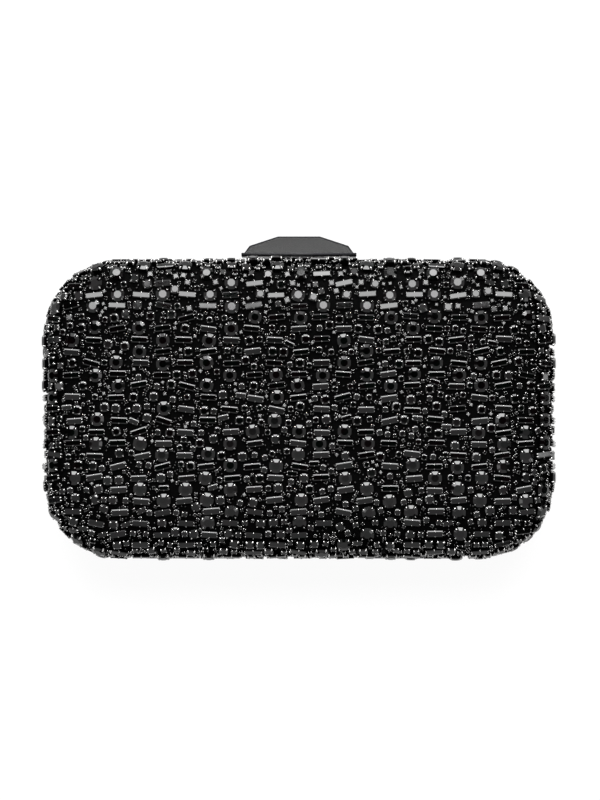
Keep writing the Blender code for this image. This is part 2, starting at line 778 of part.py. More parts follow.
def build_strike(lid, front_frame):
    """The strike plate on the front frame, with the window that the hook drops into, and its screws."""
    top = SEAT_GAP + STRIKE_THICKNESS
    plate = add_bar(
        "strike_plate",
        at_clasp(-STRIKE_HALF_LENGTH, SEAT_GAP, STRIKE_REAR_DEPTH),
        at_clasp(STRIKE_HALF_LENGTH, top, STRIKE_FRONT_DEPTH),
        lid,
        GUNMETAL,
    )
    window_half = HOOK_HALF_WIDTH + SEAT_GAP
    window = add_bar(
        "strike_window",
        at_clasp(-window_half, SEAT_GAP - OVERRUN, STRIKE_REAR_DEPTH + STRIKE_LIP),
        at_clasp(window_half, top + OVERRUN, STRIKE_FRONT_DEPTH - STRIKE_EDGE),
        lid,
    )
    cut(plate, window)
    depth = (STRIKE_REAR_DEPTH + STRIKE_FRONT_DEPTH) / 2
    for side_x, end in ((-1, "left"), (1, "right")):
        x = side_x * STRIKE_SCREW_X
        hole = screw_hole(f"strike_hole_{end}", x, depth, top + OVERRUN, top - SCREW_GRIP - OVERRUN, lid)
        cut(plate, hole)
        cut(front_frame, hole)
        add_screw(f"strike_screw_{end}", x, depth, top, SCREW_GRIP, lid)


def build_lever(clasp):
    """The lever: a plate with two ears on the pin and a hook that drops into the strike plate."""
    notch_front = -CLASP_PIN_DEPTH + EYE_RADIUS + SEAT_GAP
    ear_inner = LEVER_HALF_WIDTH - EAR_WIDTH
    lever = add_bar(
        "clasp_lever",
        at_clasp(-LEVER_HALF_WIDTH, LEVER_BOTTOM, notch_front),
        at_clasp(LEVER_HALF_WIDTH, LEVER_TOP, LEVER_REACH),
        clasp,
        GUNMETAL,
    )
    for side_x, end in ((-1, "left"), (1, "right")):
        low, high = spread(side_x * ear_inner, side_x * LEVER_HALF_WIDTH)
        arm = add_bar(
            f"lever_arm_{end}",
            at_clasp(low, LEVER_BOTTOM, -CLASP_PIN_DEPTH),
            at_clasp(high, LEVER_TOP, notch_front + SEAT_GAP),
            clasp,
        )
        eye = add_turned(f"lever_eye_{end}", [(low, EYE_RADIUS), (high, EYE_RADIUS)], CLASP_AXIS, "X", clasp, None)
        join(lever, arm)
        join(lever, eye)
    hook = add_bar(
        "lever_hook",
        at_clasp(-HOOK_HALF_WIDTH, HOOK_TIP_HEIGHT, LEVER_REACH - HOOK_THICKNESS),
        at_clasp(HOOK_HALF_WIDTH, (LEVER_BOTTOM + LEVER_TOP) / 2, LEVER_REACH),
        clasp,
    )
    join(lever, hook)
    bore_radius = CLASP_PIN_RADIUS + PIN_CLEARANCE
    reach = LEVER_HALF_WIDTH + OVERRUN
    bore = add_turned("lever_bore", [(-reach, bore_radius), (reach, bore_radius)], CLASP_AXIS, "X", clasp, None)
    cut(lever, bore)
    return lever


def build_bezel(clasp):
    """The setting: a shallow tray under the stone, with a low wall round its base."""
    half_length = STONE_LENGTH / 2 + SEAT_GAP + BEZEL_WALL
    half_depth = STONE_DEPTH / 2 + SEAT_GAP + BEZEL_WALL
    bezel = add_bar(
        "clasp_bezel",
        at_clasp(-half_length, BEZEL_STANDOFF, -half_depth),
        at_clasp(half_length, BEZEL_STANDOFF + BEZEL_HEIGHT, half_depth),
        clasp,
        GUNMETAL,
    )
    tray = add_bar(
        "bezel_tray",
        at_clasp(-half_length + BEZEL_WALL, BEZEL_STANDOFF + BEZEL_FLOOR, -half_depth + BEZEL_WALL),
        at_clasp(half_length - BEZEL_WALL, BEZEL_STANDOFF + BEZEL_HEIGHT + OVERRUN, half_depth - BEZEL_WALL),
        clasp,
    )
    cut(bezel, tray)
    return bezel


def build_stone(clasp):
    """The faceted stone: a long block with sloping ends, a short flat top and chamfered edges."""
    outline = (
        (STONE_LENGTH / 2, 0.0),
        (STONE_SHOULDER_LENGTH / 2, STONE_SHOULDER_HEIGHT),
        (STONE_TOP_LENGTH / 2, STONE_HEIGHT),
    )
    shape = bmesh.new()
    for x, height in outline:
        facet_height = max(0.0, height - STONE_CHAMFER)
        face_depth = STONE_DEPTH / 2 - STONE_SLOPE * facet_height / STONE_HEIGHT
        for side_x in (-1, 1):
            for side_z in (-1, 1):
                edge = at_clasp(side_x * x, STONE_BASE + height, side_z * (face_depth - 2 * STONE_CHAMFER))
                facet = at_clasp(side_x * (x - STONE_CHAMFER), STONE_BASE + facet_height, side_z * face_depth)
                shape.verts.new(edge)
                shape.verts.new(facet)
    hull = bmesh.ops.convex_hull(shape, input=shape.verts)
    bmesh.ops.delete(shape, geom=list(set(hull["geom_interior"] + hull["geom_unused"])), context="VERTS")
    stone = add_object("clasp_stone", shape, clasp, JET)
    stone.data.shade_flat()


def build_clasp_rivets(clasp, lever, bezel):
    """Two rivets that hold the setting on the lever, headed under the lever."""
    floor_top = BEZEL_STANDOFF + BEZEL_FLOOR
    head_top = LEVER_BOTTOM - SEAT_GAP
    for side_x, end in ((-1, "left"), (1, "right")):
        x = side_x * CLASP_RIVET_X
        stations = [
            (head_top - SCREW_HEAD, SCREW_HEAD_RADIUS),
            (head_top, SCREW_HEAD_RADIUS),
            (head_top, SCREW_RADIUS),
            (floor_top, SCREW_RADIUS),
        ]
        place = at_clasp(x, 0.0, CLASP_RIVET_DEPTH)
        add_turned(f"clasp_rivet_{end}", stations, place, "Y", clasp, SPRING_STEEL)
        hole = screw_hole(
            f"clasp_rivet_hole_{end}", x, CLASP_RIVET_DEPTH, floor_top + OVERRUN, head_top - OVERRUN, clasp
        )
        cut(lever, hole)
        cut(bezel, hole)


def build_clasp_pin(rear):
    """The pin through the lugs and the lever's ears, headed at both ends."""
    seat = LUG_X + LUG_WALL / 2 + SEAT_GAP
    end = seat + CLASP_PIN_HEAD
    stations = [
        (-end, CLASP_PIN_HEAD_RADIUS),
        (-seat, CLASP_PIN_HEAD_RADIUS),
        (-seat, CLASP_PIN_RADIUS),
        (seat, CLASP_PIN_RADIUS),
        (seat, CLASP_PIN_HEAD_RADIUS),
        (end, CLASP_PIN_HEAD_RADIUS),
    ]
    add_turned("clasp_pin", stations, CLASP_AXIS, "X", rear, SPRING_STEEL)


def build_spring(rear):
    """A torsion spring round the pin: one leg on the frame, the other under the setting's rear edge."""
    points = []
    steps = SPRING_TURNS * SPRING_STEPS + SPRING_STEPS // 2
    length = SPRING_PITCH * steps / SPRING_STEPS
    for step in range(steps + 1):
        angle = math.radians(-90.0) - math.radians(360.0) * step / SPRING_STEPS
        points.append(
            CLASP_AXIS
            + Vector(
                (
                    length * (step / steps - 0.5),
                    SPRING_COIL_RADIUS * math.sin(angle),
                    SPRING_COIL_RADIUS * math.cos(angle),
                )
            )
        )
    leg = Vector((0.0, 0.0, -SPRING_LEG))
    points.insert(0, points[0] + leg)
    points.append(points[-1] + leg)
    curve = bpy.data.curves.new("clasp_spring", "CURVE")
    curve.dimensions = "3D"
    curve.bevel_depth = SPRING_WIRE_RADIUS
    curve.bevel_resolution = 1
    curve.use_fill_caps = True
    spline = curve.splines.new("POLY")
    spline.points.add(len(points) - 1)
    for number, point in enumerate(points):
        spline.points[number].co = (*(point - rear.location), 1.0)
    curve.materials.append(material("clasp_spring", SPRING_STEEL))
    spring = bpy.data.objects.new("clasp_spring", curve)
    spring.parent = rear
    bpy.context.scene.collection.objects.link(spring)


def main():
    for old in list(bpy.data.objects):
        bpy.data.objects.remove(old)
    rear = empty("rear_half", Vector((0.0, 0.0, 0.0)))
    lid = empty("lid_hinge_axis", HINGE_AXIS)
    clasp = empty("clasp_pin_axis", CLASP_AXIS)
    shells = build_halves(rear, lid)
    rear_frame = add_frame("rear_frame", -1, rear)
    front_frame = add_frame("front_frame", 1, lid)
    build_frame_rivets("rear", -1, shells["rear"], rear_frame, rear)
    build_frame_rivets("front", 1, shells["front"], front_frame, lid)
    build_hinges(rear, lid, ((rear_frame, rear), (front_frame, lid)))
    build_pocket(rear)
    build_lugs(rear, rear_frame)
    build_strike(lid, front_frame)
    lever = build_lever(clasp)
    bezel = build_bezel(clasp)
    build_stone(clasp)
    build_clasp_rivets(clasp, lever, bezel)
    build_clasp_pin(rear)
    build_spring(rear)


if __name__ == "__main__":
    main()
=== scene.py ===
"""Looks of the stone-covered box clutch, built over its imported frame.

The clutch lies on its back. X runs along its width, +Y points to the clasp and +Z to the front face.
Lengths are in metres, in the frame's own coordinates.
"""

import logging
import math
import random
from dataclasses import dataclass, field
from enum import Enum
from typing import Callable, Iterable, Optional, Sequence, Union

import bmesh
import bpy
from mathutils import Matrix, Vector, noise


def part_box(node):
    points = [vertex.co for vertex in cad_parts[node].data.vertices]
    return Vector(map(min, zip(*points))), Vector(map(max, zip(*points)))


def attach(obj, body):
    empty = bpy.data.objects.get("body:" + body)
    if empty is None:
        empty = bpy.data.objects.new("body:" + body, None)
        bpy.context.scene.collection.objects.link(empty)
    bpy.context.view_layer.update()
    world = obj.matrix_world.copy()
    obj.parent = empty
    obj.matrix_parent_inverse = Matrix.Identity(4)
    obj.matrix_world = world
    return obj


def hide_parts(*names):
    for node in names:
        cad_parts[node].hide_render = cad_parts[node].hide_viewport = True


MM = 0.001

QUARTER = math.radians(90.0)

# Measures that several pieces share
CORNER = 29.5 * MM
EDGE = 11.0 * MM
CROWN = 1.2 * MM
PLATEAU = 26.725 * MM
COVER_RIM = 4.9 * MM

LOG = logging.getLogger("clutch")

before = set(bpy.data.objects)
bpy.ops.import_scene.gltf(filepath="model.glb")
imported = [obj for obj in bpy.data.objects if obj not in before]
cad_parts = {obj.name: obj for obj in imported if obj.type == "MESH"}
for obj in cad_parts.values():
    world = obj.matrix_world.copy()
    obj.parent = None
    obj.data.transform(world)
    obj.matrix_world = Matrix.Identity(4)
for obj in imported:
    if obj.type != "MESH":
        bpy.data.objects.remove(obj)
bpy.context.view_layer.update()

Value = Union[float, int, tuple, "Link", bpy.types.ID]
Point = Sequence[float]


# Nodes written as expressions


class Link:
    """A node's output, which adds Math nodes when it takes part in a sum."""

    def __init__(self, net: "Network", socket: bpy.types.NodeSocket) -> None:
        """Keeps the output and the tree it belongs to."""
        self.net = net
        self.socket = socket

    def math(self, operation: str, *others: Value) -> "Link":
        """Adds a Math node with this output as its first value.

        Args:
            operation: The Math node's operation.
            others: Its further values.

        Returns:
            The node's result.
        """
        return self.net.math(operation, self, *others)

    def __add__(self, other: Value) -> "Link":
        """Adds a value."""
        return self.math("ADD", other)

    def __sub__(self, other: Value) -> "Link":
        """Takes a value away."""
        return self.math("SUBTRACT", other)

    def __mul__(self, other: Value) -> "Link":
        """Multiplies by a value."""
        return self.math("MULTIPLY", other)

    def __truediv__(self, other: Value) -> "Link":
        """Divides by a value."""
        return self.math("DIVIDE", other)

    def __rsub__(self, other: Value) -> "Link":
        """Takes this output away from a value."""
        return self.net.math("SUBTRACT", other, self)

    __radd__ = __add__
    __rmul__ = __mul__


class Network:
    """A node tree whose nodes are made by one method."""

    def __init__(self, tree: bpy.types.NodeTree) -> None:
        """Empties the tree."""
        self.tree = tree
        tree.nodes.clear()

    def node(
        self,
        kind: str,
        settings: Optional[dict] = None,
        values: Optional[dict] = None,
        output: Union[str, int] = 0,
    ) -> Link:
        """Adds a node.

        Args:
            kind: The node's type.
            settings: Its settings.
            values: What goes into its sockets, by name or number.
            output: Which of its outputs is wanted.

        Returns:
            That output.
        """
        made = self.tree.nodes.new(kind)
        for name, value in (settings or {}).items():
            setattr(made, name, value)
        for name, value in (values or {}).items():
            if isinstance(value, Link):
                self.tree.links.new(value.socket, made.inputs[name])
            else:
                made.inputs[name].default_value = value
        return Link(self, made.outputs[output]) if len(made.outputs) else Link(self, None)

    def ramp(self, share: Link, *stops: tuple[float, Point]) -> Link:
        """Colours a share by stops, each a place and a colour."""
        colours = self.node("ShaderNodeValToRGB", {}, {"Fac": share})
        elements = colours.socket.node.color_ramp.elements
        while len(elements) < len(stops):
            elements.new(1.0)
        for element, (place, colour) in zip(elements, stops):
            element.position = place
            element.color = (*colour, 1.0)
        return colours

    def math(self, operation: str, *values: Value) -> Link:
        """Adds a Math node of the given operation."""
        return self.node("ShaderNodeMath", {"operation": operation}, dict(enumerate(values)))

    def blend(self, share: Value, first: Point, second: Point) -> Link:
        """Mixes two colours by a share."""
        values = {0: share, 6: (*first, 1.0), 7: (*second, 1.0)}
        return self.node("ShaderNodeMix", {"data_type": "RGBA"}, values, 2)

    def mix(self, share: Link, first: Link, second: Link) -> Link:
        """Mixes two shaders by a share."""
        return self.node("ShaderNodeMixShader", {}, {0: share, 1: first, 2: second})

    def glow(self, colour: Value, strength: float = 1.0) -> Link:
        """Adds a shader that shines."""
        return self.node("ShaderNodeEmission", {}, {"Color": colour, "Strength": strength})

    def worn(self) -> Link:
        """A place's share of wear and painted light, as its mesh has it."""
        return self.node("ShaderNodeAttribute", {"attribute_name": "worn"}, output="Fac")

    def noise(self, place: Link, scale: float, detail: float = 2.0, stretch: Point = (1.0, 1.0, 1.0)) -> Link:
        """Adds a noise pattern.

        Args:
            place: The coordinates that it reads.
            scale: Its grains for each metre.
            detail: Its finer layers.
            stretch: How much closer it lies along each axis.

        Returns:
            The pattern, from 0 to 1.
        """
        moved = self.node("ShaderNodeMapping", {}, {"Vector": place, "Scale": tuple(stretch)})
        return self.node("ShaderNodeTexNoise", {}, {"Vector": moved, "Scale": scale, "Detail": detail})

    def bump(self, height: Link, depth: float, strength: float = 1.0, normal: Optional[Link] = None) -> Link:
        """Turns a height pattern into a normal.

        Args:
            height: The pattern, from 0 to 1.
            depth: What a height of 1 measures.
            strength: How strongly it shows.
            normal: A finer relief that it is laid over.

        Returns:
            The normal.
        """
        values = {"Height": height, "Distance": depth, "Strength": strength}
        if normal:
            values["Normal"] = normal
        return self.node("ShaderNodeBump", {}, values)

    def parts(self, vector: Link) -> tuple[Link, Link, Link]:
        """A vector's three parts."""
        split = self.node("ShaderNodeSeparateXYZ", {}, {0: vector}).socket.node
        return tuple(Link(self, output) for output in split.outputs)


class Surface(Network):
    """The node tree of a material with one Principled shader."""

    def __init__(self, name: str) -> None:
        """Makes an empty material of that name."""
        self.material = bpy.data.materials.new(name)
        self.material.use_nodes = True
        super().__init__(self.material.node_tree)

    def place(self) -> Link:
        """The piece's own coordinates."""
        return self.node("ShaderNodeTexCoord", output="Object")

    def finish(
        self, values: dict, share: Optional[Link] = None, other: Optional[Link] = None
    ) -> bpy.types.Material:
        """Adds the shader.

        Args:
            values: What goes into the shader's sockets.
            share: Where another shader takes its place.
            other: That shader.

        Returns:
            The finished material.
        """
        shader = self.node("ShaderNodeBsdfPrincipled", {}, values)
        if share:
            shader = self.mix(share, shader, other)
        return self.show(shader)

    def show(self, shader: Link) -> bpy.types.Material:
        """Puts a shader on the surface and gives back the material."""
        self.node("ShaderNodeOutputMaterial", {}, {"Surface": shader})
        return self.material


# Finishes


def grey(level: float) -> Point:
    """A grey of that level."""
    return (level, level, level)


@dataclass(frozen=True)
class JetGlass:
    """Pressed black glass with polished facets."""

    name: str
    ior: float
    low_gloss: float = 0.03
    high_gloss: float = 0.09
    # When set, the small edge faces are dull and near black: a ground edge with painted shade.
    ground_edge_painted_dark: bool = False

    def material(self) -> bpy.types.Material:
        """Black glass whose shade changes from stone to stone, with a faint film of handling."""
        net = Surface(self.name)
        shade = net.ramp(
            net.noise(net.place(), 180.0, 1.0),
            (0.35, (0.0009, 0.0004, 0.0005)),
            (0.50, grey(0.0003)),
            (0.65, (0.0003, 0.0007, 0.0005)),
        )
        film = net.noise(net.place(), 900.0, 3.0)
        gloss = self.low_gloss + film * (self.high_gloss - self.low_gloss)
        values = {"Base Color": shade, "Roughness": gloss, "IOR": self.ior}
        if not self.ground_edge_painted_dark:
            return net.finish(values)
        # Painted shade: the small edge faces take a dull, near-black shader. This is a matt ground edge,
        # darkened to paint the dark lines along the stone's edges.
        dull = net.node("ShaderNodeBsdfDiffuse", {}, {"Color": (0.010, 0.010, 0.011, 1.0)})
        return net.finish(values, net.worn() * (0.82 + film * 0.2), dull)


@dataclass(frozen=True)
class ClawMetal:
    """Settings whose cups are near black, as painted shade, and whose claw tops are light: partly rubbed
    plating, partly a painted highlight.
    """

    name: str
    plate: Point
    bright: Point
    gloss: float = 0.16

    def material(self) -> bpy.types.Material:
        """Metal that lightens with its points' share of wear and painted light, with fine scratches."""
        net = Surface(self.name)
        grain = net.noise(net.place(), 2400.0, 3.0)
        # Painted light: the light colour on the claw tops is partly rubbed plating and partly a painted
        # highlight, and the near-black cups are painted shade.
        share = (net.worn() * (0.72 + grain * 0.5)).math("MINIMUM", 1.0)
        colour = net.blend(share, self.plate, self.bright)
        gloss = self.gloss + (1.0 - share) * 0.16 + grain * 0.06
        return net.finish({"Base Color": colour, "Metallic": 1.0, "Roughness": gloss})


@dataclass(frozen=True)
class PlatedMetal:
    """Plated metal with a fine grain and rubbed places."""

    name: str
    plate: Point
    rubbed: Point
    low_gloss: float
    high_gloss: float
    grain: float = 1500.0
    stretch: Point = (1.0, 1.0, 1.0)
    depth: float = 0.003 * MM

    def material(self) -> bpy.types.Material:
        """Metal whose plating is a little lighter where it is rubbed, with hairlines."""
        net = Surface(self.name)
        cloud = net.noise(net.place(), 55.0, 3.0)
        wear = net.ramp(cloud, (0.50, grey(0.0)), (0.85, grey(1.0)))
        grain = net.noise(net.place(), self.grain, 2.0, self.stretch)
        hairs = net.noise(net.place(), 5200.0, 1.0, (0.04, 1.0, 1.0))
        colour = net.blend(wear * (0.4 + grain * 0.4), self.plate, self.rubbed)
        gloss = self.low_gloss + (grain * 0.6 + cloud * 0.4) * (self.high_gloss - self.low_gloss)
        return net.finish(
            {
                "Base Color": colour,
                "Metallic": 1.0,
                "Roughness": gloss,
                "Normal": net.bump(grain + hairs * 0.6, self.depth, 0.35),
            }
        )


@dataclass(frozen=True)
class Satin:
    """Satin, woven with floats of five threads, whose colour lightens along them and over its folds: a
    painted sheen.
    """

    name: str
    dark: Point
    light: Point
    sheen: float
    gloss: float = 0.24
    specular: float = 0.6
    thread: float = 0.20 * MM
    depth: float = 0.25 * MM

    def material(self) -> bpy.types.Material:
        """Satin whose weave follows the sheet's own flat coordinates, in metres."""
        net = Surface(self.name)
        flat = net.node("ShaderNodeUVMap")
        along, across = (part / self.thread for part in net.parts(flat)[:2])
        row = across.math("FLOOR")
        thread = (across.math("FRACT") * math.pi).math("SINE")
        step = (along + row * 2.0) / 5.0
        arch = (step.math("FRACT") * math.pi).math("SINE")
        weave = thread * (0.5 + arch * 0.5)
        streaks = net.noise(flat, 900.0, 3.0, (0.05, 1.0, 1.0))
        drags = net.noise(flat, 90.0, 3.0, (0.25, 1.0, 1.0))
        broad = net.noise(flat, 26.0, 2.0, (0.7, 1.0, 1.0))
        # Painted sheen: the colour is lighter on the crests of the broad folds and drag lines that the bump
        # draws.
        painted_sheen = (broad * 0.5 + drags * 0.5 - 0.25) * 1.6
        # The floats of the weave lighten the colour too: a weave pattern with a painted sheen along the
        # threads.
        share = (0.35 + weave * (0.3 + streaks * 0.7)) * painted_sheen.math("MAXIMUM", 0.1)
        colour = net.blend(share.math("MINIMUM", 1.0), self.dark, self.light)
        fine = net.bump(weave * 0.7 + streaks * 0.6, 0.02 * MM, 0.45)
        return net.finish(
            {
                "Base Color": colour,
                "Roughness": self.gloss + streaks * 0.14 + (1.0 - broad) * 0.12,
                "Specular IOR Level": self.specular,
                "Sheen Weight": self.sheen,
                "Sheen Roughness": 0.3,
                "Normal": net.bump(broad + drags * 0.3, self.depth, 1.0, fine),
            }
        )


@dataclass(frozen=True)
class Dull:
    """A dull moulded or pressed material with a grain."""

    name: str
    dark: Point
    light: Point
    grain: float
    roughness: float

    def material(self) -> bpy.types.Material:
        """A mottled surface with fine relief."""
        net = Surface(self.name)
        fleck = net.noise(net.place(), self.grain, 5.0)
        colour = net.blend(fleck, self.dark, self.light)
        return net.finish(
            {
                "Base Color": colour,
                "Roughness": self.roughness - 0.1 + fleck * 0.2,
                "Normal": net.bump(fleck, 0.03 * MM, 0.5),
            }
        )


class Finish(Enum):
    """The clutch's finishes, each with the record's slot that it belongs to."""

    STONES = (JetGlass("jet_glass", 1.40), "jet_stones")
    # The clasp stone's dull, near-black edges are painted shade.
    CLASP_STONE = (JetGlass("clasp_glass", 1.80, 0.05, 0.10, True), "clasp_stone")
    # The claws' near-black cups are painted shade. Their light colour is partly rubbed plating and partly a
    # painted highlight.
    CLAWS = (ClawMetal("claw_plating", (0.007, 0.007, 0.008), (0.47, 0.465, 0.457)), "claw_metal")
    GUNMETAL = (
        PlatedMetal(
            "gunmetal_plating",
            (0.060, 0.060, 0.064),
            (0.13, 0.128, 0.126),
            low_gloss=0.20,
            high_gloss=0.32,
            grain=2600.0,
            stretch=(1.0, 1.0, 0.08),
        ),
        "gunmetal",
    )
    # Plating made nearly black: painted shade for the dark line where the clasp stone sits in its bezel.
    BEZEL = (
        PlatedMetal("bezel_plating", (0.010, 0.010, 0.011), (0.030, 0.030, 0.029), 0.22, 0.34, 2600.0),
        "gunmetal",
    )
    STEEL = (PlatedMetal("steel_bright", (0.50, 0.50, 0.51), (0.66, 0.65, 0.64), 0.18, 0.32), "bright_steel")
    # The ground cloth between the stones is black satin, made still darker and almost without gloss as
    # painted shade between the stones.
    GROUND = (Satin("ground_satin", grey(0.0001), grey(0.0005), 0.0, 0.5, 0.02), "black_satin")
    # The light colours of these satins are reached on their painted sheen.
    SATIN = (
        Satin(
            "satin_black", (0.0018, 0.0018, 0.0020), (0.024, 0.024, 0.026), 0.02, 0.25, 0.5, depth=3.0 * MM
        ),
        "black_satin",
    )
    LINING = (
        Satin(
            "satin_lining", (0.0050, 0.0049, 0.0054), (0.050, 0.049, 0.053), 0.03, 0.25, 0.7, depth=3.0 * MM
        ),
        "lining_satin",
    )
    SHELL = (Dull("shell_grained", grey(0.03), grey(0.055), 700.0, 0.55), "moulded_shell")
    CARD = (Dull("card_pressed", (0.26, 0.23, 0.19), (0.42, 0.38, 0.32), 900.0, 0.8), "card")

    @property
    def slot(self) -> str:
        """The record's material slot."""
        return self.value[1]

    def material(self) -> bpy.types.Material:
        """The finish's material, made once."""
        return bpy.data.materials.get(self.value[0].name) or self.value[0].material()


# Pieces


class Body(Enum):
    """The frame's bodies."""

    REAR = "rear_half"
    LID = "lid"
    CLASP = "clasp"


def new_object(name: str, data: bpy.types.ID) -> bpy.types.Object:
    """Makes an object in the scene."""
    made = bpy.data.objects.new(name, data)
    bpy.context.scene.collection.objects.link(made)
    return made


def baked(thing: bpy.types.Object) -> bpy.types.Mesh:
    """The mesh that an object's modifiers make."""
    seen = thing.evaluated_get(bpy.context.evaluated_depsgraph_get())
    return bpy.data.meshes.new_from_object(seen)


def add_piece(name: str, mesh: bpy.types.Mesh, finish: Finish, body: Body, *nodes: str) -> bpy.types.Object:
    """Makes a finished piece that rides on a body.

    Args:
        name: The piece's name.
        mesh: Its mesh, in the frame's coordinates.
        finish: Its finish.
        body: The body that it rides on.
        nodes: The CAD nodes that it stands for.

    Returns:
        The piece.
    """
    mesh.name = name
    mesh.materials.clear()
    mesh.materials.append(finish.material())
    piece = new_object(name, mesh)
    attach(piece, body.value)
    if nodes:
        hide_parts(*nodes)
    LOG.info("%s: %d faces on %s", name, len(mesh.polygons), body.value)
    return piece


def rectangle(half_x: float, half_y: float) -> list[tuple[float, float]]:
    """The corners of a rectangle about the middle."""
    return [(-half_x, -half_y), (half_x, -half_y), (half_x, half_y), (-half_x, half_y)]


class Shape:
    """Points and faces, joined loop by loop."""

    def __init__(self) -> None:
        """Starts with nothing."""
        self.points: list[tuple] = []
        self.worn: list[float] = []
        self.faces: list[tuple] = []

    def loop(self, points: Iterable[Point], worn: float = 0.0) -> list[int]:
        """Adds points with their share of wear and painted light, and returns their numbers."""
        start = len(self.points)
        self.points.extend(tuple(point) for point in points)
        self.worn.extend([worn] * (len(self.points) - start))
        return list(range(start, len(self.points)))

    def bridge(self, lower: Sequence[int], upper: Sequence[int]) -> None:
        """Joins two closed loops of equal count by faces."""
        count = len(lower)
        for i in range(count):
            j = (i + 1) % count
            self.faces.append((lower[i], lower[j], upper[j], upper[i]))

    def stack(self, loops: Sequence[Sequence[int]]) -> None:
        """Joins loops one on the other and closes both ends."""
        for lower, upper in zip(loops, loops[1:]):
            self.bridge(lower, upper)
        self.faces.append(tuple(loops[0]))
        self.faces.append(tuple(loops[-1]))

    def mesh(
        self, name: str, smooth: Optional[float] = None, flat: Optional[Callable] = None
    ) -> bpy.types.Mesh:
        """Makes a mesh with its faces turned outwards.

        Args:
            name: The mesh's name.
            smooth: The angle in degrees up to which edges are shaded smooth, or None for flat faces.
            flat: Gives a point its place on the flat sheet. None leaves the sheet's coordinates out.

        Returns:
            The mesh.
        """
        mesh = bpy.data.meshes.new(name)
        mesh.from_pydata(self.points, [], self.faces)
        if any(self.worn):
            mesh.attributes.new("worn", "FLOAT", "POINT").data.foreach_set("value", self.worn)
        if flat:
            layer = mesh.uv_layers.new(name="flat")
            for corner in mesh.loops:
                layer.data[corner.index].uv = flat(corner.vertex_index)
        turned = bmesh.new()
        turned.from_mesh(mesh)
        bmesh.ops.recalc_face_normals(turned, faces=turned.faces)
        turned.to_mesh(mesh)
        turned.free()
        if smooth is not None:
            mesh.shade_smooth()
            mesh.set_sharp_from_angle(angle=math.radians(smooth))
        return mesh


# The stones


class Cut(Enum):
    """How a stone is cut."""

    ROUND = "round"
    BAR = "bar"
    BEAD = "bead"


